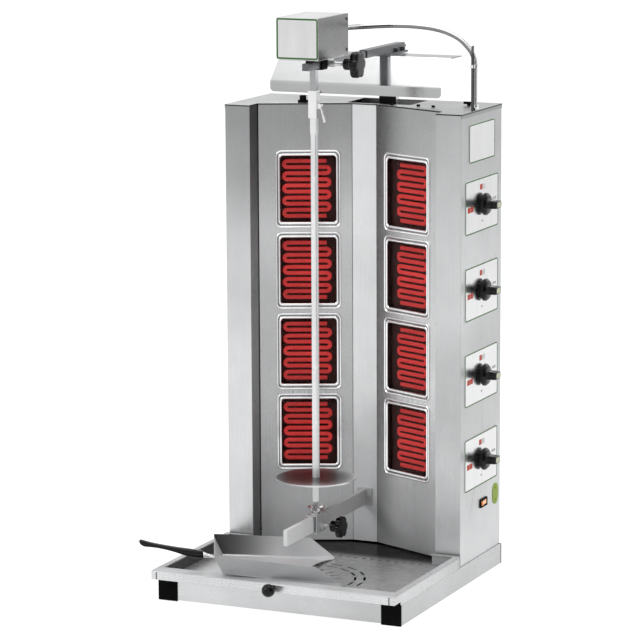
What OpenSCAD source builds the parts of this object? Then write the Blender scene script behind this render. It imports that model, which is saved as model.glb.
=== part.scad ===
// Free-standing electric doner kebab grill, in millimetres.
// X runs across the grill, Y from front to back, Z up. Every piece is modelled from the
// centre of the base front, and frame_shift then puts the origin under the bounding box.

/* [Base] */
// Width over the two base rails
base_w = 500; // [480:1:560]
// Depth of the base rails over their end caps
base_d = 515; // [505:1:560]
// Side of the square base rail tube
rail_size = 40; // [36:1:46]
// Wall of the base rail tube
rail_wall = 1.5; // [1:0.1:2.5]
// Thickness of the black end cap plate
cap_plate = 3; // [2:0.5:5]
// How far the end cap plugs into the tube
cap_plug = 16; // [10:1:30]
// Thickness of the folded cross members between the rails
cross_sheet = 1.5; // [1:0.1:2.5]
// Depth of the flanges on the cross members
cross_flange = 22; // [15:1:30]
// Height of the cross members
cross_h = 36; // [28:1:36]

/* [Tray] */
// Thickness of the grease tray sheet
tray_sheet = 1.2; // [0.8:0.1:2]
// Height of the tray rim over the rails
tray_rim_h = 24; // [18:1:25]
// Overhang of the tray lip in front of the rails
lip_reach = 30; // [20:1:45]
// Height of the folded front lip
lip_h = 17; // [12:1:20]
// Width of the side rims of the tray
tray_side_rim = 10; // [8:1:16]
// Radius of the inner ring of drain slots
drain_r_inner = 102; // [90:1:108]
// Radius of the outer ring of drain slots
drain_r_outer = 120; // [114:1:130]
// Width of a drain slot
drain_slot_w = 4.5; // [3:0.1:6]
// Distance from the rail fronts to the middle of the drain
drain_y = 108; // [100:1:125]
// Drain slots in each ring
drain_slots = 18; // [12:1:20]
// Pitch of the row of small slots at the back of the tray
row_pitch = 16.8; // [14:0.1:20]
// Diameter of the tray ball knob
ball_d = 25; // [20:1:30]
// Gap between the lip and the middle of the ball
ball_reach = 20; // [16:1:30]
// Distance of the ball to the right of the tray middle
ball_x = 4; // [0:1:10]

/* [Cabinet] */
// Clearance between each cabinet side and the outside of its rail
side_inset = 4; // [1:0.5:8]
// Depth of the cabinet
cabinet_d = 211; // [195:1:225]
// Height of the cabinet over the rails
cabinet_h = 875; // [860:1:950]
// Thickness of the cabinet sheet
sheet = 1.5; // [1:0.1:2]
// Width of the flat front post on each side of the recess
post_w = 52; // [40:1:56]
// Depth of the post return into the recess
post_return = 36; // [24:1:40]
// Width of the narrow column in the middle of the recess
column_w = 52; // [46:1:60]
// Depth of the recess from the front posts to the column
recess_d = 110; // [92:1:114]
// Gap under the recess panels
panel_lift = 4; // [3:0.5:8]
// Width of the flue opening in the top
flue_w = 135; // [110:1:140]
// Distance of the flue middle from the cabinet middle
flue_x = 27; // [15:1:30]
// Length of the front edge of the flue opening behind the column
flue_margin = 6; // [4:1:12]

/* [Heaters] */
// Number of heating zones
zones = 4; // [4:1:4]
// Height of the middle of the lowest zone over the cabinet bottom
zone_first = 224; // [215:1:240]
// Distance between zones
zone_pitch = 161; // [158:1:170]
// Width of the heater window opening
window_w = 111; // [100:1:112]
// Height of the heater window opening
window_h = 132; // [120:1:136]
// Width of the bright frame round a window
bezel_rim = 8; // [6:0.5:9]
// Height of the bright frame over the panel
bezel_t = 3; // [2:0.5:5]
// Shift of the windows on their panel towards the column
bezel_shift = 6; // [0:0.5:9]
// Thickness of the heat proof glass
glass_t = 4; // [3:0.5:5]
// Thickness of the heating element ribbon
ribbon_t = 2; // [1:0.5:3]
// Width of the heating element ribbon
ribbon_w = 8; // [6:0.5:8.5]
// Bars in one heating element
ribbon_bars = 10; // [8:2:12]
// Thickness of the insulating board behind an element
board_t = 12; // [8:1:16]

/* [Controls] */
// Width of a control plate
plate_w = 172; // [150:1:178]
// Height of a control plate
plate_h = 104; // [90:1:120]
// Thickness of a control plate
plate_t = 1; // [0.6:0.1:1.5]
// Distance between control plates
plate_pitch = 166.5; // [160:0.5:168]
// Height of the middle of the lowest control plate over the cabinet bottom
plate_first = 192.5; // [185:0.5:205]
// Width of the bare badge plate
badge_w = 134; // [110:1:150]
// Height of the bare badge plate
badge_h = 75; // [60:1:76]
// Distance of the middle of the badge plate under the cabinet top
badge_drop = 61.5; // [58:0.5:63]
// Distance of the knobs behind the middle of their plates
knob_back = 3; // [0:0.5:20]
// Diameter of a control knob
knob_d = 43.5; // [36:0.5:48]
// Height of a control knob over its plate
knob_h = 34; // [30:1:40]
// Diameter of the switch spindle
spindle_d = 6; // [5:0.5:7]
// Radial running gap of the knob bore on the spindle
spindle_gap = 0.05; // [0.03:0.01:0.1]
// Length of the mains switch
switch_l = 36; // [30:1:42]
// Height of the mains switch
switch_h = 17; // [15:1:22]
// Distance of the mains switch behind the middle of the cabinet side
switch_back = 13.5; // [5:0.5:20]
// Height of the mains switch middle over the cabinet bottom
switch_z = 103; // [100:1:108]
// Width of the green cover plate
cover_w = 30; // [24:1:34]
// Height of the green cover plate
cover_h = 42; // [36:1:50]

/* [Lower arm] */
// Height of the lower arm bottom over the rails
arm_z = 80; // [75:1:90]
// Height of the lower arm bar
arm_h = 30; // [26:1:34]
// Thickness of the lower arm bar
arm_t = 8; // [6:0.5:10]
// Distance from the rail fronts to the lower arm front end
arm_front = 36; // [25:1:50]
// Distance from the rail fronts to the spit
spit_y = 178; // [170:1:190]
// Length of the lower carriage along its arm
carriage_l = 46; // [40:1:56]
// Sliding gap between a carriage and its arm
slide_gap = 0.3; // [0.2:0.05:0.5]
// Room between the arm and the clamped side of the lower carriage
clip_room = 5; // [2:0.5:8]
// Diameter of the lower star knob
low_star_d = 41.5; // [34:0.5:46]
// Diameter of the bearing cup
cup_d = 33; // [28:1:36]
// Height of the bearing cup over its neck
cup_h = 7; // [6:0.5:9]
// Height of the neck under the bearing cup
neck_h = 6; // [5:0.5:9]

/* [Spit] */
// Diameter of the spit rod
spit_d = 14; // [12:0.5:15]
// Length of the pointed end of the spit
spit_point = 16; // [12:1:20]
// Diameter of the meat disc
disc_d = 152; // [120:1:180]
// Thickness of the meat disc
disc_t = 3; // [2:0.5:5]
// Height of the meat disc over the bearing cup rim
disc_rise = 55; // [40:1:80]
// Diameter of the collar under the meat disc
collar_d = 26; // [22:1:32]
// Height of that collar
collar_h = 14; // [12:1:20]
// Sliding gap of the meat disc and the sleeve on what they run on
spit_gap = 0.1; // [0.05:0.01:0.1]
// Side of the square drive shaft
shaft_s = 12; // [10:0.5:13]
// Side of the coupling sleeve
sleeve_s = 17; // [16:0.5:18]
// Length of the coupling sleeve
sleeve_l = 51; // [44:1:60]
// Height of the coupling sleeve bottom under the arm bar
sleeve_drop = 95; // [90:1:100]
// Length of the squared spit end inside the sleeve
spit_grip = 26; // [20:1:28]

/* [Upper arm] */
// Height of the upper arm bar bottom over the cabinet top
bar_z = 92; // [88:1:100]
// Side of the square upper arm bar
bar_s = 13; // [12:0.5:14]
// Distance of the bar from the spit centre plane
bar_x = 14; // [14:0.5:20]
// Distance from the rail fronts to the front end of the bar
bar_front = 108; // [95:1:118]
// Distance of the back end of the bar behind the cabinet
bar_back = 53; // [45:1:70]
// Width of the arm post that stands in the flue
post_plate_w = 36; // [30:1:44]
// Length of the channel over the back of the bar
channel_l = 186; // [150:1:190]
// Length of the saddle base under the channel
saddle_l = 92; // [80:1:95]
// Diameter of the round upper part of the drive shaft
shaft_d = 10; // [8:0.5:10]
// Thickness of the saddle base under the bar
saddle_base = 4; // [3:0.5:6]
// Width of the motor housing
motor_w = 86; // [76:1:94]
// Distance of the middle of the motor housing to the left of the spit
motor_shift = 2.5; // [0:0.5:4]
// Depth of the motor housing
motor_d = 137; // [125:1:150]
// Height of the motor housing
motor_h = 77.5; // [72:0.5:90]
// Thickness of the motor housing sheet
motor_sheet = 1.2; // [1:0.1:2]
// Height of the motor housing over the bar
motor_rise = 7; // [6:0.5:14]
// Diameter of the upper star knob
up_star_d = 52; // [42:1:56]

/* [Deflector] */
// Reach of the deflector to the left of the cabinet middle
deflector_left = 204; // [180:1:220]
// Reach of the deflector to the right of the cabinet middle
deflector_right = 157; // [140:1:180]
// Distance of the deflector lip behind the cabinet front
deflector_y = 117; // [108:1:121]
// Height of the lip bottom over the cabinet top
deflector_z = 15; // [10:1:20]
// Height of the deflector lip
deflector_lip = 20; // [15:1:25]
// Depth of the flat deflector top
deflector_top = 58; // [50:1:60]

/* [Conduit] */
// Height of the conduit gland over the bottom of the motor housing
conduit_rise = 46; // [34:1:60]
// Outer diameter of the motor conduit
conduit_d = 10; // [8:0.5:11]
// Diameter of the conduit support rod
rod_d = 6; // [5:0.5:8]
// Height of the support rod over the cabinet top
rod_h = 122; // [110:1:130]

/* [Scoop] */
// Length of the scoop floor
scoop_l = 217; // [205:1:220]
// Width of the scoop at its back wall
scoop_back_w = 172; // [160:1:180]
// Width of the scoop at its mouth
scoop_mouth_w = 247; // [230:1:250]
// Depth of the hollow front edge between the two tips of the scoop
mouth_hollow = 50; // [20:1:60]
// Height of the scoop walls
scoop_h = 35; // [30:1:40]
// Outward lean of the scoop walls
scoop_flare = 25; // [10:1:26]
// Thickness of the scoop sheet
scoop_sheet = 1; // [0.8:0.1:1.5]
// Length of the scoop handle grip
grip_l = 124; // [110:1:130]

/* [Hidden] */

steel = [0.78, 0.79, 0.8];
dark_steel = [0.42, 0.43, 0.44];
black = [0.06, 0.06, 0.07];
pale = [0.9, 0.91, 0.9];
round_fn = 48;
seat = 0.3;
eps = 0.02;

rail_x = base_w / 2;
tube_d = base_d - 2 * cap_plate;
half_w = base_w / 2 - side_inset;
back_y = base_d;
front_y = back_y - cabinet_d;
deck_z = rail_size;
top_z = deck_z + cabinet_h;
inner_x = half_w - post_w;
panel_y = front_y + post_return;
column_x = column_w / 2;
column_y = front_y + recess_d;
panel_run = inner_x - column_x;
panel_rise = column_y - panel_y;
panel_len = sqrt(panel_run * panel_run + panel_rise * panel_rise);
panel_angle = 180 - atan(panel_rise / panel_run);
panel_z = deck_z + panel_lift;
panel_h = top_z - sheet - panel_z;
bezel_u = panel_len / 2 + bezel_shift;

tray_z = deck_z + seat;
tray_floor = tray_z + tray_sheet;
rim_z = deck_z + tray_rim_h;
tray_half = rail_x - 0.5;
basin_half = tray_half - tray_side_rim;
basin_back = front_y - 7;
tongue_half = inner_x - 3;
tongue_back = column_y - 8;
member_z = (rail_size - cross_h) / 2;
member_half = rail_x - rail_size;

spit_x = 0;
arm_top = deck_z + arm_z + arm_h;
clip_sheet = 2;
clip_left = -arm_t / 2 - slide_gap;
clip_right = arm_t / 2 + clip_room;
clip_reach = 5;
cup_z = arm_top + slide_gap + clip_sheet + neck_h;
cup_rim = cup_z + cup_h;
cup_floor = 2;
spit_tip = cup_z + cup_floor + seat;
disc_z = cup_rim + disc_rise;
low_screw_z = deck_z + arm_z + arm_h / 3;
screw_d = 8;

bar_low = top_z + bar_z;
bar_top = bar_low + bar_s;
bar_mid = bar_low + bar_s / 2;
bar_end = back_y + bar_back;
tail_bolt_l = 16;
sleeve_z = bar_low - sleeve_drop;
spit_top = sleeve_z + spit_grip;
shaft_low = spit_top + 1;
motor_z = bar_top + motor_rise;
motor_front = spit_y - motor_d / 2;
motor_mid = spit_x - motor_shift;
gear_h = 42;
bearing_s = 21;
up_screw_y = spit_y + 16;
carriage_side = bar_x - bar_s / 2 - slide_gap;
carriage_right = bar_x + bar_s / 2 + slide_gap;
carriage_wall = 3;
up_back = up_screw_y + 22;
up_front = spit_y + bearing_s / 2 + 0.5;

post_y = back_y - 18;
post_sheet = 3;
saddle_y = bar_end - 4 - saddle_l;
hood_z = bar_low - saddle_base - seat - sheet;
hood_y = front_y + deflector_y;
hood_rise = hood_z + sheet - (top_z + deflector_z + deflector_lip);

side_mid = back_y - cabinet_d / 2 + 1;
plate_x = half_w;
plate_z = deck_z + plate_first;
knob_y = side_mid + knob_back;
knob_base = plate_x + plate_t + seat;
spindle_end = knob_base + knob_h * 0.6;
switch_y = side_mid + switch_back;

gland_l = 9;
motor_back = motor_front + motor_d;
// Route of the conduit from the motor housing to the cabinet top
conduit_route = [
  [18, 0, 0], [18, 10, 0], [18, 20, 0], [20, 32, 0], [25, 46, 0], [34, 61, 0],
  [47, 77, 0], [64, 92, 0.5], [84, 107, 0.5], [106, 119, 0], [129, 130, -2],
  [151, 138, -5], [172, 144, -10], [190, 147.5, -17], [206, 149.5, -26],
  [219, 150, -37], [229, 150, -49], [234.5, 150, -61], [236, 150, -73],
  [236, 150, -95], [236, 150, -120], [236, 150, -145], [236, 150, -166]
];
conduit_z = motor_z + conduit_rise;
conduit_start = [0, motor_back + 1, conduit_z];
conduit_end = conduit_start + conduit_route[len(conduit_route) - 1];
conduit_x = conduit_end[0];
conduit_y = conduit_end[1];
rod_x = half_w - 9;
rod_y = conduit_y - 13;

scoop_yaw = 26;
scoop_rest = 78;
scoop_fall = 56;
scoop_drop_corner = [scoop_l, scoop_mouth_w / 2];
scoop_half_rest = scoop_half(scoop_rest);
scoop_px = -26;
scoop_py = tray_sheet + 0.2;
corner_s = scoop_drop_corner[0] - scoop_rest;
corner_t = scoop_drop_corner[1] + scoop_half_rest;
corner_dx = corner_s * cos(scoop_yaw) - corner_t * sin(scoop_yaw);
corner_dy = corner_s * sin(scoop_yaw) + corner_t * cos(scoop_yaw);
scoop_run = corner_dx * cos(scoop_fall) + corner_dy * sin(scoop_fall);
scoop_tilt = asin((rim_z - tray_floor) / scoop_run);
scoop_back_lean = 20;
scoop_top_l = 168;
tang_l = 30;
grip_rise = 5.7;
grip_z = 16;
grip_tail_d = 18;
tang_s = -scoop_back_lean / 2 - tang_l + 1;
grip_start = scoop_point([tang_s, 0, grip_z]);
grip_end = scoop_point([tang_s - grip_l * cos(grip_rise), 0, grip_z + grip_l * sin(grip_rise)]);
grip_way = (grip_end - grip_start) / norm(grip_end - grip_start);

x_low = grip_end[0] - grip_tail_d / 2 * sqrt(1 - grip_way[0] * grip_way[0]);
x_high = knob_base + knob_h;
y_low = -lip_reach - ball_reach - ball_d / 2;
y_high = bar_end + tail_bolt_l;
frame_shift = [-(x_low + x_high) / 2, -(y_low + y_high) / 2, 0];

// Where a point of the scoop's own frame lies when the scoop rests on the tray
function scoop_point(p) =
  let (
    s = p[0] - scoop_rest,
    t = p[1] + scoop_half_rest,
    flat = [s * cos(scoop_yaw) - t * sin(scoop_yaw), s * sin(scoop_yaw) + t * cos(scoop_yaw), p[2]],
    axle = [-sin(scoop_fall), cos(scoop_fall), 0],
    turned = flat * cos(scoop_tilt) + cross(axle, flat) * sin(scoop_tilt)
      + axle * (axle * flat) * (1 - cos(scoop_tilt))
  )
  [scoop_px, scoop_py, rim_z + seat] + turned;

function scoop_half(s) = (scoop_back_w + (scoop_mouth_w - scoop_back_w) * s / scoop_l) / 2;

module place() {
  translate(frame_shift) children();
}

module box(low, high) {
  translate(low) cube([high[0] - low[0], high[1] - low[1], high[2] - low[2]]);
}

module both_sides() {
  children();
  mirror([1, 0, 0]) children();
}

module round_rect(w, h, r) {
  union() {
    square([w - 2 * r, h], center = true);
    square([w, h - 2 * r], center = true);
    for (x = [-1, 1], y = [-1, 1])
      translate([x * (w / 2 - r), y * (h / 2 - r)]) circle(r, $fn = 24);
  }
}

// Lays the children, drawn with width in x and height in y, on the right cabinet side
module on_side(y, z, x = plate_x) {
  translate([x, y, z]) rotate([90, 0, 90]) children();
}

// Puts the children on the right recess panel, with u along it and v out of it
module on_panel() {
  translate([inner_x, panel_y, 0]) rotate([0, 0, panel_angle]) children();
}

// Repeats the children, drawn with width in x and height in y, at each heating zone
module at_zones(v) {
  for (i = [0 : zones - 1])
    translate([bezel_u, v, deck_z + zone_first + i * zone_pitch]) rotate([90, 0, 0]) children();
}

module rail(side) {
  x0 = side > 0 ? rail_x - rail_size : -rail_x;
  difference() {
    translate([x0, cap_plate, 0]) cube([rail_size, tube_d, rail_size]);
    translate([x0 + rail_wall, 0, rail_wall])
      cube([rail_size - 2 * rail_wall, base_d, rail_size - 2 * rail_wall]);
  }
}

module rail_left() {
  color(steel) place() rail(-1);
}

module rail_right() {
  color(steel) place() rail(1);
}

// A flat black plate with a hollow plug that fits the tube
module rail_cap() {
  plug = rail_size - 2 * rail_wall - 0.4;
  translate([0, 0, rail_size / 2]) rotate([90, 0, 0]) linear_extrude(cap_plate)
    round_rect(rail_size, rail_size, 1);
  difference() {
    translate([-plug / 2, 0, (rail_size - plug) / 2]) cube([plug, cap_plug, plug]);
    translate([2 - plug / 2, 2, 2 + (rail_size - plug) / 2]) cube([plug - 4, cap_plug, plug - 4]);
  }
}

module rail_caps() {
  x = rail_x - rail_size / 2;
  color(black) place() both_sides() {
    translate([x, cap_plate, 0]) rail_cap();
    translate([x, base_d - cap_plate, 0]) mirror([0, 1, 0]) rail_cap();
  }
}

// A channel between the rails, with flanges turned in at its top and bottom
module member(y, way) {
  w = 2 * member_half;
  translate([-member_half, y, member_z]) mirror([0, way > 0 ? 0 : 1, 0]) {
    cube([w, cross_sheet, cross_h]);
    cube([w, cross_flange, cross_sheet]);
    translate([0, 0, cross_h - cross_sheet]) cube([w, cross_flange, cross_sheet]);
  }
}

module front_member() {
  color(steel) place() member(cap_plate / 2, 1);
}

module rear_member() {
  color(steel) place() member(base_d - cap_plate / 2, -1);
}

// The pan that lies on the cross members and catches what drains through the tray
module drip_pan() {
  low = member_z + cross_sheet;
  high = member_z + cross_h - cross_sheet - 6;
  half = member_half - 1;
  y0 = cap_plate / 2 + cross_sheet + 1;
  y1 = base_d - y0;
  color(steel) place() difference() {
    box([-half, y0, low], [half, y1, high]);
    box([-half + 1, y0 + 1, low + 1], [half - 1, y1 - 1, high + 1]);
  }
}

module tray_slots() {
  for (i = [0 : drain_slots - 1]) {
    a = i * 360 / drain_slots;
    translate([0, drain_y]) rotate([0, 0, a]) {
      translate([drain_r_outer, 0]) square([drain_slot_w, drain_r_outer * 0.24], center = true);
      translate([drain_r_inner, 0]) square([drain_slot_w, drain_r_inner * 0.26], center = true);
      translate([drain_r_inner * 0.65, 0]) square([18, drain_slot_w * 0.8], center = true);
    }
  }
  count = floor((tongue_half - row_pitch / 2) / row_pitch);
  for (i = [-count : count])
    translate([i * row_pitch, basin_back - 6]) square([8, 5], center = true);
}

// Folded sheet: slotted floor, basin walls, rims, outer side flanges and a rolled front lip
module tray() {
  rim_low = rim_z - tray_sheet;
  nose_r = tray_sheet * 3;
  color(steel) place() {
    translate([0, 0, tray_z]) linear_extrude(tray_sheet) difference() {
      union() {
        translate([-basin_half, 0]) square([2 * basin_half, basin_back]);
        translate([-tongue_half, 0]) square([2 * tongue_half, tongue_back]);
      }
      tray_slots();
    }
    both_sides() {
      box([basin_half - tray_sheet, 0, tray_z], [basin_half, basin_back, rim_z]);
      box([basin_half - tray_sheet, -nose_r, rim_low], [tray_half, basin_back, rim_z]);
      box([tray_half - tray_sheet, 2, tray_z], [tray_half, basin_back, rim_z]);
      box([tongue_half, basin_back - tray_sheet, tray_z], [basin_half, basin_back, rim_z]);
      box([tongue_half, basin_back - 8, rim_low], [basin_half, basin_back, rim_z]);
    }
    both_sides() {
      x = tray_half - tray_sheet;
      box([x, -lip_reach, rim_z - lip_h], [tray_half, 2 + eps, rim_z - nose_r]);
      box([x, nose_r - lip_reach, rim_z - nose_r - eps], [tray_half, 2 + eps, rim_z]);
      translate([x, nose_r - lip_reach, rim_z - nose_r]) rotate([90, 0, 90]) linear_extrude(tray_sheet)
        intersection() {
          circle(nose_r, $fn = 32);
          translate([-nose_r, 0]) square(nose_r);
        }
    }
    box([-basin_half, 0, tray_z], [basin_half, tray_sheet, rim_z]);
    box([-tray_half, nose_r - lip_reach, rim_low], [tray_half, tray_sheet, rim_z]);
    box([-tray_half, -lip_reach, rim_z - lip_h], [tray_half, tray_sheet - lip_reach, rim_z - nose_r]);
    box([-tray_half, -lip_reach, rim_z - lip_h], [tray_half, 6 - lip_reach, rim_z - lip_h + tray_sheet]);
    translate([-tray_half, nose_r - lip_reach, rim_z - nose_r]) rotate([90, 0, 90])
      linear_extrude(2 * tray_half) intersection() {
        difference() {
          circle(nose_r, $fn = 32);
          circle(nose_r - tray_sheet, $fn = 32);
        }
        translate([-nose_r, 0]) square(nose_r);
      }
  }
}

// The turned ball and its stud on the tray lip
module tray_knob() {
  z = rim_z - lip_h / 2;
  stud = 9;
  color(black) place() translate([ball_x, -lip_reach, z]) rotate([90, 0, 0]) union() {
    cylinder(h = ball_reach, d = stud, $fn = round_fn);
    translate([0, 0, ball_reach]) sphere(d = ball_d, $fn = round_fn);
  }
}

// Plan of one cabinet side: outer wall, front post, return and back flange
module side_plan() {
  translate([half_w - sheet, front_y]) square([sheet, cabinet_d - sheet - seat]);
  translate([inner_x, front_y]) square([post_w, sheet]);
  translate([inner_x, front_y]) square([sheet, post_return - seat]);
  translate([half_w - 14, back_y - 2 * sheet - seat]) square([14, sheet]);
}

module cabinet_side() {
  translate([0, 0, deck_z]) linear_extrude(cabinet_h - sheet) side_plan();
}

module side_left() {
  color(steel) place() mirror([1, 0, 0]) cabinet_side();
}

module side_right() {
  color(steel) place() difference() {
    cabinet_side();
    for (i = [0 : zones - 1])
      on_side(knob_y, plate_z + i * plate_pitch, plate_x - 3 * sheet)
        cylinder(h = 6 * sheet, d = 12, $fn = round_fn);
    on_side(switch_y, deck_z + switch_z, plate_x - 3 * sheet) linear_extrude(6 * sheet)
      square([switch_l - 5, switch_h - 5], center = true);
  }
}

module back_panel() {
  half = half_w;
  vent_w = 60;
  color(steel) place() difference() {
    box([-half, back_y - sheet, deck_z], [half, back_y, top_z - sheet]);
    for (x = [-1, 1], i = [0 : 7])
      box([x * 110 - vent_w / 2, back_y - 3 * sheet, deck_z + 90 + i * 14],
          [x * 110 + vent_w / 2, back_y + sheet, deck_z + 94 + i * 14]);
    translate([-150, back_y + sheet, deck_z + 42]) rotate([90, 0, 0])
      cylinder(h = 4 * sheet, d = gland_bore_d, $fn = round_fn);
  }
}

// Plan of the recess, in front of its panels
module recess_plan(grow) {
  polygon([
    [-inner_x - grow, front_y - 10], [-inner_x - grow, panel_y], [-column_x, column_y + grow],
    [column_x, column_y + grow], [inner_x + grow, panel_y], [inner_x + grow, front_y - 10]
  ]);
}

flue_front = column_y + flue_margin;
flue_back = back_y - 8;

module top_panel() {
  skirt = 9;
  overhang = 1;
  hx = half_w + overhang;
  color(steel) place() difference() {
    union() {
      translate([0, 0, top_z - sheet]) linear_extrude(sheet) difference() {
        translate([-hx, front_y - overhang]) square([2 * hx, cabinet_d + 2 * overhang]);
        recess_plan(0);
      }
      both_sides() box([hx - 0.8, front_y, top_z - skirt], [hx, back_y, top_z]);
    }
    box([flue_x - flue_w / 2, flue_front, top_z - 3 * sheet],
        [flue_x + flue_w / 2, flue_back, top_z + sheet]);
    box([bar_x - post_plate_w / 2 - seat, flue_back - 1, top_z - 3 * sheet],
        [bar_x + post_plate_w / 2 + seat, back_y - sheet, top_z + sheet]);
    translate([conduit_x, conduit_y, top_z - 3 * sheet])
      cylinder(h = 6 * sheet, d = conduit_d + 0.6, $fn = round_fn);
    translate([rod_x, rod_y, top_z - 3 * sheet]) cylinder(h = 6 * sheet, d = rod_d + 0.2, $fn = round_fn);
  }
}

module bottom_panel() {
  y0 = column_y + 12;
  color(steel) place() difference() {
    box([-half_w + 2 * sheet, y0, deck_z], [half_w - 2 * sheet, back_y - 3 * sheet - seat, deck_z + sheet]);
    for (x = [-1, 1], i = [0 : 5])
      box([x * 120 - 40, y0 + 14 + i * 11, deck_z - sheet],
          [x * 120 + 40, y0 + 19 + i * 11, deck_z + 3 * sheet]);
  }
}

// Recess panel with its four window openings and a flange along each end
module heater_panel() {
  on_panel() difference() {
    union() {
      box([sheet, -sheet, panel_z], [panel_len - eps, 0, panel_z + panel_h]);
      box([sheet + 0.5, -14, panel_z], [2 * sheet + 0.5, 0, panel_z + panel_h]);
    }
    at_zones(sheet) linear_extrude(3 * sheet) round_rect(window_w, window_h, 6);
  }
}

module heater_panel_right() {
  color(steel) place() heater_panel();
}

module heater_panel_left() {
  color(steel) place() mirror([1, 0, 0]) heater_panel();
}

// The narrow strip in the middle of the recess, folded back at both edges
module centre_column() {
  fold = 12;
  half = column_x - 0.6;
  color(steel) place() {
    box([-half, column_y, panel_z], [half, column_y + sheet, panel_z + panel_h]);
    both_sides() box([half - 6, column_y, panel_z], [half - 6 + sheet, column_y + fold, panel_z + panel_h]);
  }
}

module bezel_set() {
  lip = 2;
  on_panel() at_zones(bezel_t + eps) linear_extrude(bezel_t) difference() {
    round_rect(window_w + 2 * bezel_rim, window_h + 2 * bezel_rim + 5, 9);
    round_rect(window_w - lip, window_h - lip, 6);
  }
}

module bezels_right() {
  color([0.9, 0.91, 0.92]) place() bezel_set();
}

module bezels_left() {
  color([0.9, 0.91, 0.92]) place() mirror([1, 0, 0]) bezel_set();
}

// The glass lies behind the panel, over the opening
module glass_set() {
  on_panel() at_zones(-sheet - eps) linear_extrude(glass_t)
    round_rect(window_w + 8, window_h + 8, 4);
}

module glass_right() {
  color([0.16, 0.05, 0.05, 0.6]) place() glass_set();
}

module glass_left() {
  color([0.16, 0.05, 0.05, 0.6]) place() mirror([1, 0, 0]) glass_set();
}

element_w = window_w - 14;
element_h = window_h - 12;
bar_pitch = element_h / ribbon_bars;
bend_r = bar_pitch / 2;

// One ribbon that runs to and fro, with a round turn at alternate ends
module serpentine() {
  straight = element_w - 2 * bend_r - ribbon_w;
  for (i = [0 : ribbon_bars - 1])
    translate([0, (i - (ribbon_bars - 1) / 2) * bar_pitch]) square([straight, ribbon_w], center = true);
  for (i = [0 : ribbon_bars - 2])
    translate([(i % 2 == 0 ? 1 : -1) * straight / 2, (i + 1 - ribbon_bars / 2) * bar_pitch])
      intersection() {
        difference() {
          circle(bend_r + ribbon_w / 2, $fn = 24);
          circle(bend_r - ribbon_w / 2, $fn = 16);
        }
        translate([i % 2 == 0 ? 0 : -element_w, -element_w / 2]) square(element_w);
      }
}

element_v = -sheet - glass_t - 3;

module element_set() {
  on_panel() at_zones(element_v) linear_extrude(ribbon_t) serpentine();
}

module elements_right() {
  color([0.85, 0.12, 0.08]) place() element_set();
}

module elements_left() {
  color([0.85, 0.12, 0.08]) place() mirror([1, 0, 0]) element_set();
}

// The insulating board has a rim that touches the glass and a floor behind the ribbon
module board_set() {
  w = window_w + 8;
  h = window_h + 8;
  gap = 3 + ribbon_t;
  on_panel() at_zones(-sheet - glass_t - 2 * eps) difference() {
    linear_extrude(gap + board_t) square([w, h], center = true);
    translate([0, 0, -eps]) linear_extrude(gap + eps) square([w - 10, h - 8], center = true);
  }
}

module insulation_boards() {
  color([0.55, 0.5, 0.45]) place() both_sides() board_set();
}

module control_plates() {
  color(pale) place() for (i = [0 : zones - 1]) difference() {
    on_side(side_mid, plate_z + i * plate_pitch) linear_extrude(plate_t) round_rect(plate_w, plate_h, 5);
    on_side(knob_y, plate_z + i * plate_pitch, plate_x - 1)
      cylinder(h = plate_t + 2, d = 12, $fn = round_fn);
  }
}

module badge_plate() {
  color(pale) place() on_side(side_mid, top_z - badge_drop) linear_extrude(plate_t)
    round_rect(badge_w, badge_h, 5);
}

// Round knob: narrow foot, bevelled disc, bar grip across it and a blind bore for the spindle
module control_knob(i) {
  foot_h = 4;
  skirt_h = 9;
  bevel = 4.5;
  grip_w = 16.5;
  grip_y = 30;
  color(black) place() translate([knob_base, knob_y, plate_z + i * plate_pitch]) rotate([0, 90, 0]) {
    difference() {
      union() {
        cylinder(h = foot_h + eps, d = knob_d - 2 * bevel, $fn = round_fn);
        translate([0, 0, foot_h]) cylinder(h = skirt_h - foot_h, d = knob_d, $fn = round_fn);
        translate([0, 0, skirt_h - eps])
          cylinder(h = bevel, d1 = knob_d, d2 = knob_d - 2 * bevel, $fn = round_fn);
        linear_extrude(knob_h) round_rect(grip_w, grip_y, 6);
      }
      translate([0, 0, -1])
        cylinder(h = spindle_end - knob_base + 1.3, d = spindle_d + 2 * spindle_gap, $fn = round_fn);
    }
  }
}

module knob_1() {
  control_knob(0);
}

module knob_2() {
  control_knob(1);
}

module knob_3() {
  control_knob(2);
}

module knob_4() {
  control_knob(3);
}

// Four switches behind the side wall, each with a spindle that carries its knob
module rotary_switches() {
  body = 44;
  depth = 38;
  back = plate_x - sheet - depth;
  color(black) place() for (i = [0 : zones - 1]) translate([back, knob_y, plate_z + i * plate_pitch]) {
    translate([0, -body / 2, -body / 2]) cube([depth, body, body]);
    rotate([0, 90, 0]) cylinder(h = depth + sheet + plate_t, d = 11, $fn = round_fn);
    rotate([0, 90, 0]) cylinder(h = spindle_end - back, d = spindle_d, $fn = round_fn);
  }
}

module terminal_block() {
  w = 90;
  pitch = 15;
  y1 = back_y - sheet;
  color([0.85, 0.85, 0.8]) place() difference() {
    box([-w / 2 - 40, y1 - 22, deck_z + 110], [w / 2 - 40, y1, deck_z + 134]);
    for (i = [0 : 5])
      box([-w / 2 - 36 + i * pitch, y1 - 23, deck_z + 114],
          [-w / 2 - 28 + i * pitch, y1 - 8, deck_z + 130]);
  }
}

gland_bore_d = 20;

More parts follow.
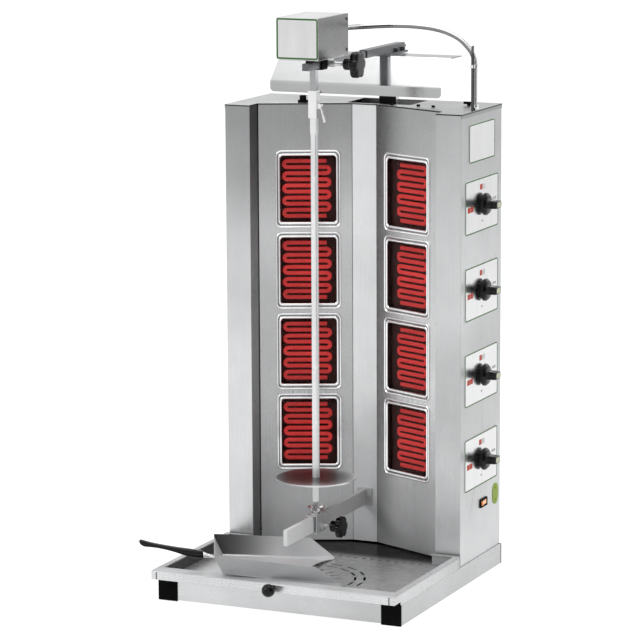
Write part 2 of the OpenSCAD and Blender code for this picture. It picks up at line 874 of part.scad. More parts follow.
// Empty screwed gland where the mains cable enters the back
module mains_gland() {
  color(black) place() translate([-150, back_y, deck_z + 42]) rotate([-90, 0, 0]) difference() {
    union() {
      translate([0, 0, -12]) cylinder(h = 14, d = gland_bore_d - 0.6, $fn = round_fn);
      translate([0, 0, -sheet - 6]) cylinder(h = 6, d = 28, $fn = 6);
      cylinder(h = 6, d = 28, $fn = 6);
      translate([0, 0, 5]) cylinder(h = 15, d = 23, $fn = round_fn);
    }
    translate([0, 0, -14]) cylinder(h = 40, d = 12, $fn = round_fn);
  }
}

rocker_pivot = plate_x - 1;
rocker_tilt = 7;

// Snap-in switch body with a raised frame round the rocker
module switch_frame() {
  color(black) place() difference() {
    union() {
      on_side(switch_y, deck_z + switch_z) linear_extrude(2.5) round_rect(switch_l, switch_h, 2);
      on_side(switch_y, deck_z + switch_z, plate_x - 24) linear_extrude(24.5)
        square([switch_l - 6, switch_h - 6], center = true);
    }
    on_side(switch_y, deck_z + switch_z, plate_x - 10) linear_extrude(20)
      square([switch_l - 8, switch_h - 8], center = true);
  }
}

// Lit rocker, round at its ends so that it clears the frame as it tilts
module switch_rocker() {
  l = switch_l - 10;
  h = switch_h - 8.6;
  color([0.95, 0.45, 0.1]) place() translate([rocker_pivot, switch_y, deck_z + switch_z - h / 2])
    rotate([0, 0, rocker_tilt]) linear_extrude(h) intersection() {
      circle(l / 2, $fn = 64);
      polygon([[-4, -5], [-4, 5], [1, l / 2], [4.8, l / 2], [3.2, 0], [4.8, -l / 2], [1, -l / 2]]);
    }
}

module cover_plate() {
  y = back_y - 26;
  z = deck_z + 107;
  color([0.6, 0.72, 0.15]) place() {
    on_side(y, z) linear_extrude(0.8) round_rect(cover_w, cover_h, cover_w / 2 - 0.1);
    for (s = [-1, 1])
      on_side(y, z + s * 12) cylinder(h = 1.8, d = 5, $fn = 24);
  }
}

// Small parts on the cabinet top: bracket screws, a black rest block and a wing screw
module top_fittings() {
  color(black) place() {
    for (p = [[62, 101], [115, 106], [148, 101]])
      translate([p[0], front_y + p[1], top_z]) cylinder(h = 3, d = 7, $fn = 24);
    translate([-117, front_y + 81, top_z]) {
      cylinder(h = 5, d = 20, $fn = 32);
      cylinder(h = 14, d = 13, $fn = 32);
    }
    translate([half_w - 42, front_y + 146, top_z]) {
      cylinder(h = 6, d = 8, $fn = 24);
      translate([-11, -1.5, 3]) cube([22, 3, 5]);
    }
  }
}

// Flat bar out of the recess with a foot plate against the column
module lower_arm() {
  foot_w = 30;
  foot_t = 4;
  z0 = deck_z + arm_z;
  color(steel) place() {
    box([-arm_t / 2, arm_front, z0], [arm_t / 2, column_y - foot_t + eps, z0 + arm_h]);
    box([-foot_w / 2, column_y - foot_t, z0 - 2], [foot_w / 2, column_y, z0 + arm_h + 2]);
    for (x = [-1, 1])
      translate([x * 10, column_y - foot_t, z0 + arm_h / 2]) rotate([90, 0, 0])
        cylinder(h = 3, d = 6, $fn = 24);
  }
}

// Folded clip that rides on the arm, with a boss for the clamp screw
module lower_carriage() {
  y0 = spit_y - carriage_l / 2;
  z0 = deck_z + arm_z - slide_gap;
  z1 = arm_top + slide_gap;
  x0 = clip_left - clip_sheet;
  x1 = clip_right + clip_sheet;
  boss_l = 6;
  color(steel) place() difference() {
    union() {
      box([x0, y0, z0 - clip_sheet], [x1, y0 + carriage_l, z1 + clip_sheet]);
      box([x0 - clip_reach, y0, z1], [x1, y0 + carriage_l, z1 + clip_sheet]);
      translate([x1 - eps, spit_y, low_screw_z]) rotate([0, 90, 0])
        cylinder(h = boss_l, d = 16, $fn = round_fn);
    }
    box([clip_left, y0 - 1, z0], [clip_right, y0 + carriage_l + 1, z1]);
    box([clip_left, y0 - 1, z0 - 2 * clip_sheet], [clip_right - clip_reach, y0 + carriage_l + 1, z0 + 1]);
    translate([0, spit_y, low_screw_z]) rotate([0, 90, 0])
      cylinder(h = x1 + boss_l + 1, d = screw_d + 0.1, $fn = round_fn);
  }
}

// Dished cup on a neck that takes the point of the spit
module bearing_cup() {
  base = arm_top + slide_gap + clip_sheet;
  color(dark_steel) place() translate([spit_x, spit_y, base]) rotate_extrude($fn = round_fn)
    polygon([
      [0, 0], [10, 0], [10, 1.5], [6, 3], [6, neck_h], [cup_d / 2 - 4, neck_h],
      [cup_d / 2, neck_h + cup_h], [cup_d / 2 - 2, neck_h + cup_h],
      [cup_d / 2 - 5, neck_h + cup_floor], [0, neck_h + cup_floor]
    ]);
}

// Lobed plastic head on a round hub, over the screw that clamps a carriage
module star_knob(d, hub_l, head_t, screw_l) {
  lobes = 6;
  hub_d = 21.5;
  rotate([0, 90, 0]) {
    cylinder(h = hub_l, d = hub_d, $fn = round_fn);
    translate([0, 0, hub_l - eps]) linear_extrude(head_t) difference() {
      circle(d = d, $fn = 72);
      for (i = [0 : lobes - 1])
        rotate([0, 0, (i + 0.5) * 360 / lobes]) translate([d * 0.6, 0]) circle(d * 0.17, $fn = 24);
    }
    translate([0, 0, -screw_l]) cylinder(h = screw_l + 5, d = screw_d, $fn = round_fn);
  }
}

module lower_clamp_knob() {
  tip = arm_t / 2 + 0.3;
  hub_x = 31.5;
  color(black) place() translate([hub_x, spit_y, low_screw_z])
    star_knob(low_star_d, 13, 13.5, hub_x - tip);
}

module spit_rod() {
  color(steel) place() translate([spit_x, spit_y, 0]) {
    translate([0, 0, spit_tip]) cylinder(h = spit_point, d1 = 2, d2 = spit_d, $fn = round_fn);
    translate([0, 0, spit_tip + spit_point - eps])
      cylinder(h = sleeve_z - 1 - spit_tip - spit_point, d = spit_d, $fn = round_fn);
    translate([-shaft_s / 2, -shaft_s / 2, sleeve_z - 30])
      cube([shaft_s, shaft_s, spit_top - sleeve_z + 30]);
  }
}

// Disc with a collar that a set screw locks on the rod
module meat_disc() {
  color(steel) place() translate([spit_x, spit_y, disc_z]) difference() {
    union() {
      cylinder(h = disc_t, d = disc_d, $fn = 96);
      translate([0, 0, -collar_h]) cylinder(h = collar_h + eps, d = collar_d, $fn = round_fn);
      translate([0, 0, -collar_h / 2]) rotate([0, 90, 0]) cylinder(h = collar_d / 2 + 4, d = 6, $fn = 24);
    }
    translate([0, 0, -collar_h - 1])
      cylinder(h = collar_h + disc_t + 2, d = spit_d + 2 * spit_gap, $fn = round_fn);
  }
}

// Square output shaft of the gear motor, round where it runs in its bearing
module drive_shaft() {
  round_low = bar_low - 4;
  round_high = motor_z + motor_sheet + 10;
  color(steel) place() translate([spit_x, spit_y, 0]) {
    translate([-shaft_s / 2, -shaft_s / 2, shaft_low])
      cube([shaft_s, shaft_s, round_low - shaft_low + eps]);
    translate([0, 0, round_low]) cylinder(h = round_high - round_low, d = shaft_d, $fn = round_fn);
  }
}

ear_t = 2;
pin_d = 3;
latch_z = sleeve_z + 22;
latch_lean = 14;
latch_x = spit_x + sleeve_s / 2 + 4;

// Square tube that couples the squared spit end to the drive shaft, with two ears
module coupling_sleeve() {
  hole = shaft_s + 2 * spit_gap;
  color(steel) place() difference() {
    union() {
      translate([spit_x - sleeve_s / 2, spit_y - sleeve_s / 2, sleeve_z])
        cube([sleeve_s, sleeve_s, sleeve_l]);
      for (s = [-1, 1])
        translate([latch_x - 5, spit_y + s * 4 - ear_t / 2, latch_z - 4]) cube([9, ear_t, 8]);
      translate([latch_x, spit_y + 4, latch_z]) rotate([90, 0, 0])
        cylinder(h = 8, d = pin_d, $fn = round_fn);
    }
    translate([spit_x - hole / 2, spit_y - hole / 2, sleeve_z - 1]) cube([hole, hole, sleeve_l + 2]);
  }
}

// Small hanging latch that turns on the pin between the ears
module coupling_latch() {
  color(dark_steel) place() translate([latch_x, spit_y, latch_z]) difference() {
    union() {
      rotate([90, 0, 0]) translate([0, 0, -2.5]) cylinder(h = 5, d = 7, $fn = round_fn);
      rotate([0, -latch_lean, 0]) translate([0.4, -2.5, -31]) cube([2.6, 5, 31]);
    }
    rotate([90, 0, 0]) translate([0, 0, -4]) cylinder(h = 8, d = pin_d + 0.1, $fn = round_fn);
  }
}

// Channel that stands inside the back of the cabinet and carries the upper arm
module arm_post() {
  foot_l = 150;
  x0 = bar_x - post_plate_w / 2;
  x1 = bar_x + post_plate_w / 2;
  z0 = top_z - foot_l;
  color(steel) place() {
    box([x0, post_y, z0], [x1, post_y + post_sheet, hood_z - seat]);
    box([x0, post_y, z0], [x0 + post_sheet, back_y - sheet, hood_z - seat]);
    box([x1 - post_sheet, post_y, z0], [x1, back_y - sheet, hood_z - seat]);
    box([x0, hood_y + hood_rise + sheet, hood_z - seat - post_sheet],
        [x1, saddle_y + saddle_l, hood_z - seat]);
  }
}

// Square bar held in a folded saddle that is bolted through the deflector to the post
module upper_arm_bar() {
  cx = bar_s / 2;
  wing = 9;
  y0 = saddle_y;
  y1 = saddle_y + saddle_l;
  w = cx + wing;
  color(steel) place() {
    difference() {
      box([bar_x - cx, bar_front, bar_low], [bar_x + cx, bar_end, bar_top]);
      box([bar_x - cx + 2, bar_front + 2, bar_low + 2], [bar_x + cx - 2, bar_end + 1, bar_top - 2]);
    }
    box([bar_x - w, y0, bar_low - saddle_base], [bar_x + w, y1, bar_low]);
    box([bar_x - cx - 2, y1 - channel_l, bar_top - eps], [bar_x + cx + 2, y1, bar_top + 2]);
    translate([bar_x, bar_end - 3, bar_mid]) rotate([-90, 0, 0])
      cylinder(h = tail_bolt_l + 3, d = 6, $fn = 24);
    box([bar_x - cx + 1, bar_end - 3, bar_low + 1], [bar_x + cx - 1, bar_end, bar_top - 1]);
    for (s = [-1, 1]) {
      x = bar_x + s * (cx + 1);
      box([x - 1, y1 - channel_l, bar_low - eps], [x + 1, y1, bar_top + 1]);
      for (y = [y0 + saddle_l / 2, y0 + saddle_l - 14])
        translate([bar_x + s * (cx + wing / 2 + 1), y, bar_low - eps]) cylinder(h = 7, d = 6.6, $fn = 6);
    }
  }
}

// Section of the deflector: lip, slope and flat top, from front to back
module hood_section() {
  rise = hood_rise;
  lip_top = deflector_z + deflector_lip;
  polygon([
    [0, deflector_z], [sheet, deflector_z], [sheet, lip_top - 0.6],
    [rise + 0.6, lip_top + rise - sheet], [rise + deflector_top, lip_top + rise - sheet],
    [rise + deflector_top, lip_top + rise], [rise, lip_top + rise], [0, lip_top]
  ]);
}

module deflector() {
  corner = 8;
  w = deflector_left + deflector_right;
  color(steel) place() translate([-deflector_left, hood_y, top_z]) difference() {
    rotate([90, 0, 90]) linear_extrude(w) hood_section();
    for (side = [0, 1])
      translate([side * w, -1, deflector_z]) rotate([-90, 0, 0]) linear_extrude(2 * sheet + 1)
        difference() {
          square(2 * corner, center = true);
          translate([(side == 0 ? 1 : -1) * corner, -corner]) circle(corner, $fn = 48);
        }
  }
}

// Folded box that is open only for the shaft and the conduit
module motor_housing() {
  s = motor_sheet;
  x0 = motor_mid - motor_w / 2;
  x1 = motor_mid + motor_w / 2;
  color(steel) place() difference() {
    box([x0, motor_front, motor_z], [x1, motor_back, motor_z + motor_h]);
    box([x0 + s, motor_front + s, motor_z + s], [x1 - s, motor_back - s, motor_z + motor_h - s]);
    translate([spit_x, spit_y, motor_z - 1]) cylinder(h = 4 * s, d = shaft_s + 8, $fn = round_fn);
    translate([conduit_route[0][0], motor_back - 3 * s, conduit_z]) rotate([-90, 0, 0])
      cylinder(h = 6 * s, d = conduit_d + 2.4, $fn = round_fn);
  }
}

// Bare bordered plate on the front of the housing
module motor_plate() {
  color(pale) place() translate([motor_mid, motor_front, motor_z + motor_h / 2]) rotate([90, 0, 0])
    linear_extrude(1) round_rect(motor_w - 1, motor_h - 1, 4);
}

// Gearbox on the floor of the housing with a round motor on top
module gear_motor() {
  z = motor_z + motor_sheet;
  color(dark_steel) place() difference() {
    union() {
      box([-28, spit_y - 24, z], [28, spit_y + 40, z + 26]);
      translate([0, spit_y + 14, z + 26 - eps]) cylinder(h = gear_h, d = 46, $fn = round_fn);
    }
    translate([spit_x, spit_y, z - 1]) cylinder(h = 13, d = shaft_d + 0.1, $fn = round_fn);
  }
}

// Plate under the housing with a fork that hooks over the bar and takes the clamp screw
module motor_carriage() {
  half = motor_w / 2 - 4;
  z1 = motor_z;
  z0 = bar_top + slide_gap;
  low = bar_low + 2;
  boss = 12;
  color(steel) place() difference() {
    union() {
      box([motor_mid - half, motor_front + 8, z1 - 2], [motor_mid + half, motor_back - 8, z1]);
      box([carriage_side - carriage_wall, up_front, low], [carriage_right + carriage_wall, up_back, z1 - 1]);
      translate([carriage_right + carriage_wall - eps, up_screw_y, bar_mid]) rotate([0, 90, 0])
        cylinder(h = boss, d = 12, $fn = round_fn);
    }
    box([carriage_side, up_front - 1, low - 1], [carriage_right, up_back + 1, z0]);
    translate([spit_x, spit_y, z1 - 5]) cylinder(h = 8, d = shaft_s + 8, $fn = round_fn);
    translate([carriage_right - 1, up_screw_y, bar_mid]) rotate([0, 90, 0])
      cylinder(h = boss + carriage_wall + 3, d = screw_d + 0.1, $fn = round_fn);
  }
}

// Black block that slides on the bar and steadies the shaft beside it
module shaft_bearing() {
  wall = 3;
  y0 = spit_y - bearing_s / 2 - 4.5;
  y1 = spit_y + bearing_s / 2;
  low = bar_low - wall;
  color(black) place() difference() {
    box([-bearing_s / 2, y0, low], [carriage_right + wall - seat, y1, motor_z - 2]);
    box([carriage_side, y0 - 1, bar_low - slide_gap], [carriage_right, y1 + 1, bar_top + slide_gap]);
    translate([spit_x, spit_y, low - 1]) cylinder(h = motor_z - low, d = shaft_d + 0.1, $fn = round_fn);
  }
}

module upper_clamp_knob() {
  tip = bar_x + bar_s / 2 + 0.3;
  hub_x = 55.5;
  color(black) place() translate([hub_x, up_screw_y, bar_mid])
    star_knob(up_star_d, 17.5, 16, hub_x - tip);
}

function unit(v) = v / norm(v);
function along(points, i) =
  unit(points[min(i + 1, len(points) - 1)] - points[max(i - 1, 0)]);

// One round tube swept along a list of points
module swept_tube(points, d) {
  sides = 12;
  count = len(points);
  rings = [
    for (i = [0 : count - 1])
      let (t = along(points, i), side = unit(cross(t, [0.35, -0.94, 0.02])), up = cross(side, t))
      for (k = [0 : sides - 1])
        points[i] + d / 2 * (cos(360 * k / sides) * side + sin(360 * k / sides) * up)
  ];
  quads = [
    for (i = [0 : count - 2], k = [0 : sides - 1])
      let (a = i * sides + k, b = i * sides + (k + 1) % sides) [a, b, b + sides, a + sides]
  ];
  triangles = [for (q = quads) each [[q[0], q[1], q[2]], [q[0], q[2], q[3]]]];
  first = [for (k = [1 : sides - 2]) [0, k + 1, k]];
  base = (count - 1) * sides;
  last = [for (k = [1 : sides - 2]) [base, base + k, base + k + 1]];
  polyhedron(rings, concat(triangles, first, last), convexity = 6);
}

conduit_points = [for (p = conduit_route) [p[0], p[1], p[2]] + conduit_start];

module conduit() {
  color(steel) place() swept_tube(conduit_points, conduit_d);
}

module hex_gland(d, h) {
  difference() {
    union() {
      cylinder(h = h * 0.45, d = d + 9, $fn = 6);
      cylinder(h = h, d = d + 5, $fn = round_fn);
    }
    translate([0, 0, -1]) cylinder(h = h + 2, d = d + 0.6, $fn = round_fn);
  }
}

// Nut where the conduit leaves the motor housing
module motor_gland() {
  color(steel) place() translate([conduit_start[0] + conduit_route[0][0], motor_back, conduit_z])
    rotate([-90, 0, 0]) hex_gland(conduit_d, gland_l);
}

// Nut round the conduit on the cabinet top and the clip on the support rod
module conduit_fittings() {
  clip_z = top_z + rod_h - 42;
  color(steel) place() {
    translate([conduit_x, conduit_y, top_z]) hex_gland(conduit_d, gland_l);
    translate([0, 0, clip_z]) linear_extrude(6) difference() {
      union() {
        translate([rod_x, rod_y]) circle(rod_d / 2 + 1.5, $fn = 32);
        translate([conduit_x, conduit_y]) circle(conduit_d / 2 + 1.8, $fn = 32);
        translate([rod_x - 2.5, rod_y]) square([5, conduit_y - rod_y]);
      }
      translate([rod_x, rod_y]) circle(rod_d / 2 + 0.05, $fn = 32);
      translate([conduit_x, conduit_y]) circle(conduit_d / 2 + 0.4, $fn = 32);
    }
  }
}

module support_rod() {
  flat = 14;
  color(steel) place() {
    translate([rod_x, rod_y, top_z - 12]) cylinder(h = rod_h + 12 - flat, d = rod_d, $fn = round_fn);
    translate([rod_x - 1.2, rod_y - 4, top_z + rod_h - flat - 1]) cube([2.4, 8, flat + 1]);
  }
}

// Carries the scoop from its own frame to the tray, tilted over the front rim
module lay_scoop() {
  translate([scoop_px, scoop_py, rim_z + seat])
    rotate(a = scoop_tilt, v = [-sin(scoop_fall), cos(scoop_fall), 0])
      rotate([0, 0, scoop_yaw]) translate([-scoop_rest, scoop_half_rest, 0]) children();
}

// Solid between the floor outline and the leaning walls, grown outwards by t
module scoop_form(t) {
  h = scoop_h + t;
  flare = scoop_flare;
  lean = scoop_back_lean;
  b = scoop_back_w / 2 + t;
  m = scoop_mouth_w / 2 + t;
  f = scoop_half(scoop_top_l) + flare + t;
  low = -t;
  polyhedron(
    [
      [-t, -b, low], [scoop_l, -m, low], [scoop_l, m, low], [-t, b, low],
      [-lean - t, -b - flare, h], [scoop_top_l, -f, h], [scoop_top_l, f, h], [-lean - t, b + flare, h],
      [scoop_l, -m, 3], [scoop_l, m, 3]
    ],
    [
      [0, 1, 2], [0, 2, 3], [4, 6, 5], [4, 7, 6], [0, 3, 7], [0, 7, 4],
      [0, 4, 5], [0, 5, 8], [0, 8, 1], [3, 2, 9], [3, 9, 6], [3, 6, 7],
      [1, 8, 9], [1, 9, 2], [5, 6, 9], [5, 9, 8]
    ]
  );
}

// Bent sheet with a floor, two side walls that run out at the mouth and a back wall. The front edge
// of the floor is hollow, so that it fits round the meat.
module scoop_blade() {
  color(steel) place() lay_scoop() {
    translate([0, 0, scoop_sheet]) difference() {
      scoop_form(scoop_sheet);
      scoop_form(0);
      translate([scoop_l - 0.5, -scoop_mouth_w, 0]) cube([9, 2 * scoop_mouth_w, scoop_h]);
      translate([scoop_l - mouth_hollow + mouth_r, 0, -2 * scoop_sheet])
        cylinder(h = 4 * scoop_sheet, r = mouth_r, $fn = 96);
      translate([scoop_top_l, 0, scoop_h]) rotate([0, mouth_slope, 0]) translate([0, -scoop_mouth_w, -0.01])
        cube([scoop_l, 2 * scoop_mouth_w, scoop_h]);
      translate([-scoop_l, -scoop_mouth_w, scoop_h]) cube([3 * scoop_l, 2 * scoop_mouth_w, scoop_h]);
    }
    translate([tang_s, 0, grip_z]) rotate([0, grip_rise, 0])
      translate([0, -4, -2]) cube([tang_l + 2, 8, 4]);
  }
}

mouth_slope = atan((scoop_h - 3) / (scoop_l - scoop_top_l));
mouth_r = (pow(scoop_mouth_w / 2, 2) + pow(mouth_hollow, 2)) / (2 * mouth_hollow);

// Moulded grip, thick at the blade and waisted behind it
module scoop_grip() {
  color(black) place() lay_scoop() translate([tang_s, 0, grip_z])
    rotate([0, grip_rise - 90, 0]) {
      hull() {
        cylinder(h = 4, d = 15, $fn = 32);
        translate([0, 0, grip_l * 0.3]) cylinder(h = 4, d = 19, $fn = 32);
      }
      hull() {
        translate([0, 0, grip_l * 0.3]) cylinder(h = 4, d = 19, $fn = 32);
        translate([2, 0, grip_l * 0.75]) cylinder(h = 4, d = 14, $fn = 32);
      }
      hull() {
        translate([2, 0, grip_l * 0.75]) cylinder(h = 4, d = 14, $fn = 32);
        translate([0, 0, grip_l - 4]) cylinder(h = 4, d = grip_tail_d, $fn = 32);
      }
    }
}

rail_left();
rail_right();
rail_caps();
front_member();
rear_member();
drip_pan();
tray();
tray_knob();
side_left();
side_right();
back_panel();
top_panel();
bottom_panel();
heater_panel_left();
heater_panel_right();
centre_column();
bezels_left();
bezels_right();
glass_left();
glass_right();
elements_left();
elements_right();
insulation_boards();
control_plates();
badge_plate();
knob_1();
knob_2();
knob_3();
knob_4();
rotary_switches();
terminal_block();
mains_gland();
switch_frame();
switch_rocker();
cover_plate();
top_fittings();
lower_arm();
lower_carriage();
bearing_cup();
lower_clamp_knob();
spit_rod();
meat_disc();
drive_shaft();
coupling_sleeve();
coupling_latch();
arm_post();
upper_arm_bar();
deflector();
motor_housing();
motor_plate();
gear_motor();
motor_carriage();
shaft_bearing();
upper_clamp_knob();
conduit();
motor_gland();
conduit_fittings();
support_rod();
scoop_blade();
scoop_grip();
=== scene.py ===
import math

import bmesh
import bpy
from mathutils import Matrix, Vector


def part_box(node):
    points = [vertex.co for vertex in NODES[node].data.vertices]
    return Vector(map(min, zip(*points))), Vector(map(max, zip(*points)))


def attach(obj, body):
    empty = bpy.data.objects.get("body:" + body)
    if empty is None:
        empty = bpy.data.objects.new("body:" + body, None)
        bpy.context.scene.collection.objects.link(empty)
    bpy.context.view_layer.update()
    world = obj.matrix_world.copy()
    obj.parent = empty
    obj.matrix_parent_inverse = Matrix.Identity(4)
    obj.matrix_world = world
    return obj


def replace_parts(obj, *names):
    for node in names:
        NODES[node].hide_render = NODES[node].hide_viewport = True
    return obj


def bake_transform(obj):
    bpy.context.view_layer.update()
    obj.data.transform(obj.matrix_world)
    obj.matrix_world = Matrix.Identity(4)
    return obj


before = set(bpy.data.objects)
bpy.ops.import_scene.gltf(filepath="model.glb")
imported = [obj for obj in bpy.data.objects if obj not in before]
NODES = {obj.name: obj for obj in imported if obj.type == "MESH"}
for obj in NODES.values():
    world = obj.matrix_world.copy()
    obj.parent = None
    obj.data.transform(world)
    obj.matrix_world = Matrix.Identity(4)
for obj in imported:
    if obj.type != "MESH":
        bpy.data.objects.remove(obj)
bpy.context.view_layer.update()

# Sizes of the CAD source, in millimetres, from the middle of the base front.
MM = 0.001
INNER_X, PANEL_Y, COLUMN_X, COLUMN_Y = 194, 340, 26, 414
HALF_W, BACK_Y, TOP_Z = 246, 515, 915
BASIN_HALF, RIM_Z, TRAY_DROP = 239.5, 64, 22.5
WINDOW_W, WINDOW_H, BEZEL_RIM = 111, 132, 8
ZONE_Z, ZONE_PITCH, ZONES = 264, 161, 4
PLATE_Z, PLATE_PITCH, PLATE_W, PLATE_H = 232.5, 166.5, 172, 104
SIDE_Y, KNOB_Y, KNOB_X = 410.5, 413.5, 247.3
BADGE_Z, BADGE_W, BADGE_H = 853.5, 134, 75
SPIT_Y = 178
MOTOR_FRONT, MOTOR_BACK, MOTOR_LOW, MOTOR_HIGH = 109.5, 246.5, 1027, 1104.5
MOTOR_X, MOTOR_HALF, CONDUIT_Z = -2.5, 43, 1073
HOOD_Y, HOOD_RISE = 421, 52.7
SCOOP_YAW, SCOOP_FALL, SCOOP_REST, SCOOP_LENGTH = 26, 56, 78, 217
SCOOP_BACK, SCOOP_MOUTH, SCOOP_X, SCOOP_Y = 172, 247, -26, 1.4
GRIP_START, GRIP_HEIGHT, GRIP_RISE, GRIP_LENGTH = -39, 16, 5.7, 124

caps_low, caps_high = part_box("rail_caps")
ORIGIN = Vector(((caps_low.x + caps_high.x) / 2, caps_low.y, 0.0))


def at(x, y, z):
    """A point of the CAD source, in metres in the shared frame."""
    return Vector((x * MM, y * MM, z * MM)) + ORIGIN


SCOOP_SPREAD = (SCOOP_MOUTH - SCOOP_BACK) / 2 / SCOOP_LENGTH
fall = math.radians(SCOOP_FALL)
rest_half = SCOOP_BACK / 2 + SCOOP_SPREAD * SCOOP_REST
scoop_yaw = Matrix.Rotation(math.radians(SCOOP_YAW), 3, "Z")
corner = scoop_yaw @ Vector((SCOOP_LENGTH - SCOOP_REST, SCOOP_MOUTH / 2 + rest_half, 0))
scoop_tilt = math.asin(TRAY_DROP / (corner.x * math.cos(fall) + corner.y * math.sin(fall)))
SCOOP_TURN = Matrix.Rotation(scoop_tilt, 3, Vector((-math.sin(fall), math.cos(fall), 0))) @ scoop_yaw
SCOOP_GAP = 0.3


def scoop_point(along, across, up):
    """A point of the scoop's own frame, with the scoop at rest on the tray rim."""
    p = SCOOP_TURN @ Vector((along - SCOOP_REST, across + rest_half, up))
    return at(p.x + SCOOP_X, p.y + SCOOP_Y, p.z + RIM_Z + SCOOP_GAP)


# Nodes of a material


class Shader:
    """Builds one node material around a Principled shader."""

    def __init__(self, name, **sockets):
        self.mat = bpy.data.materials.new(name)
        self.mat.use_nodes = True
        self.tree = self.mat.node_tree
        self.bsdf = self.tree.nodes["Principled BSDF"]
        for key, value in sockets.items():
            self.bsdf.inputs[key.replace("_", " ")].default_value = value
        self.coords = self.tree.nodes.new("ShaderNodeTexCoord").outputs["Object"]

    def node(self, kind, **inputs):
        n = self.tree.nodes.new(kind)
        for key, value in inputs.items():
            self.put(n.inputs[key.replace("_", " ")], value)
        return n

    def put(self, socket, value):
        if isinstance(value, bpy.types.NodeSocket):
            self.tree.links.new(value, socket)
        else:
            socket.default_value = value

    def set(self, name, value):
        self.put(self.bsdf.inputs[name], value)

    def stretched(self, scale):
        m = self.node("ShaderNodeMapping", Vector=self.coords)
        m.inputs["Scale"].default_value = scale
        return m.outputs["Vector"]

    def noise(self, scale, detail=2.0, rough=0.5, size=1.0):
        vector = self.stretched(scale) if isinstance(scale, tuple) else self.coords
        n = self.node("ShaderNodeTexNoise", Vector=vector, Detail=detail, Roughness=rough)
        n.inputs["Scale"].default_value = size if isinstance(scale, tuple) else scale
        return n.outputs["Fac"]

    def remap(self, value, low, high, frm=(0.3, 0.7)):
        n = self.node("ShaderNodeMapRange", Value=value)
        n.inputs["From Min"].default_value = frm[0]
        n.inputs["From Max"].default_value = frm[1]
        n.inputs["To Min"].default_value = low
        n.inputs["To Max"].default_value = high
        return n.outputs["Result"]

    def math(self, op, a, b=0.0, c=0.0):
        n = self.tree.nodes.new("ShaderNodeMath")
        n.operation = op
        for i, v in enumerate((a, b, c)):
            self.put(n.inputs[i], v)
        return n.outputs[0]

    def mix(self, factor, a, b, blend="MIX"):
        n = self.tree.nodes.new("ShaderNodeMix")
        n.data_type = "RGBA"
        n.blend_type = blend
        self.put(n.inputs["Factor"], factor)
        for socket, value in ((n.inputs[6], a), (n.inputs[7], b)):
            self.put(socket, (*value, 1.0) if isinstance(value, tuple) and len(value) == 3 else value)
        return n.outputs[2]

    def place(self, axis):
        """One coordinate of the frame, in metres."""
        return self.node("ShaderNodeSeparateXYZ", Vector=self.coords).outputs[axis]

    def ramp(self, value, stops, low, high):
        """Smooth grey curve over a value: stops are (place, grey) between low and high."""
        n = self.tree.nodes.new("ShaderNodeValToRGB")
        n.color_ramp.interpolation = "B_SPLINE"
        items = n.color_ramp.elements
        while len(items) < len(stops):
            items.new(0.5)
        for item, (where, grey) in zip(items, stops):
            item.position = (where - low) / (high - low)
            item.color = (grey, grey, grey, 1.0)
        self.put(n.inputs["Fac"], self.remap(value, 0, 1, (low, high)))
        return n.outputs["Color"]

    def dot(self, vector, way):
        n = self.tree.nodes.new("ShaderNodeVectorMath")
        n.operation = "DOT_PRODUCT"
        self.put(n.inputs[0], vector)
        self.put(n.inputs[1], way)
        return n.outputs["Value"]

    def bump(self, height, strength, distance, under=None):
        n = self.node("ShaderNodeBump", Height=height)
        n.inputs["Strength"].default_value = strength
        n.inputs["Distance"].default_value = distance
        if under is not None:
            self.put(n.inputs["Normal"], under)
        self.tree.links.new(n.outputs["Normal"], self.bsdf.inputs["Normal"])
        return n.outputs["Normal"]


def brushed(name, colour, rough, along="z", fine=2600.0, wear=0.5, shade=None, metal=0.82):
    """Brushed sheet: long fine grain, wiped marks and faint patches.

    shade multiplies painted light and painted shade into it by place; metal is the share that mirrors, a
    number or again by place.
    """
    s = Shader(name)
    s.set("Metallic", metal(s) if callable(metal) else metal)
    s.bsdf.inputs["Specular IOR Level"].default_value = 0.05
    stretch = {"x": (0.004, 1, 1), "y": (1, 0.004, 1), "z": (1, 1, 0.004)}[along]
    grain = s.noise(tuple(fine * k for k in stretch), detail=3, rough=0.6)
    broad = s.noise(tuple(60 * k ** 0.4 for k in stretch), detail=4, rough=0.55)
    cloud = s.noise(5.0, detail=3, rough=0.55)
    wiped = s.noise((22, 22, 22), detail=6, rough=0.7)
    dark = tuple(c * 0.86 for c in colour)
    light = tuple(min(1.0, c * 1.06) for c in colour)
    tint = s.mix(s.remap(cloud, 0, 1), dark, light)
    tint = s.mix(s.remap(grain, 0.0, 0.13, (0.35, 0.75)), tint, tuple(c * 0.62 for c in colour))
    tint = s.mix(s.remap(broad, 0.0, 0.12), tint, tuple(min(1, c * 1.15) for c in colour))
    if shade:
        tint = s.mix(1.0, tint, shade(s), "MULTIPLY")
    s.set("Base Color", tint)
    spread = rough * 0.2
    s.set("Roughness", s.math("ADD", s.remap(grain, rough - spread, rough + spread),
                              s.remap(wiped, -0.05 * wear, 0.12 * wear)))
    n = s.bump(grain, 0.06, 0.00004)
    s.bump(wiped, 0.03, 0.0002, n)
    return s.mat


def polished(name, colour, rough, scale=900.0):
    s = Shader(name, Metallic=1.0)
    fine = s.noise(scale, detail=3)
    rub = s.noise((40, 40, 9), detail=5, rough=0.65)
    s.set("Base Color", s.mix(s.remap(rub, 0, 1), tuple(c * 0.9 for c in colour), colour))
    s.set("Roughness", s.math("ADD", s.remap(rub, rough * 0.6, rough * 1.5), s.remap(fine, 0, 0.03)))
    s.bump(fine, 0.05, 0.00003)
    return s.mat


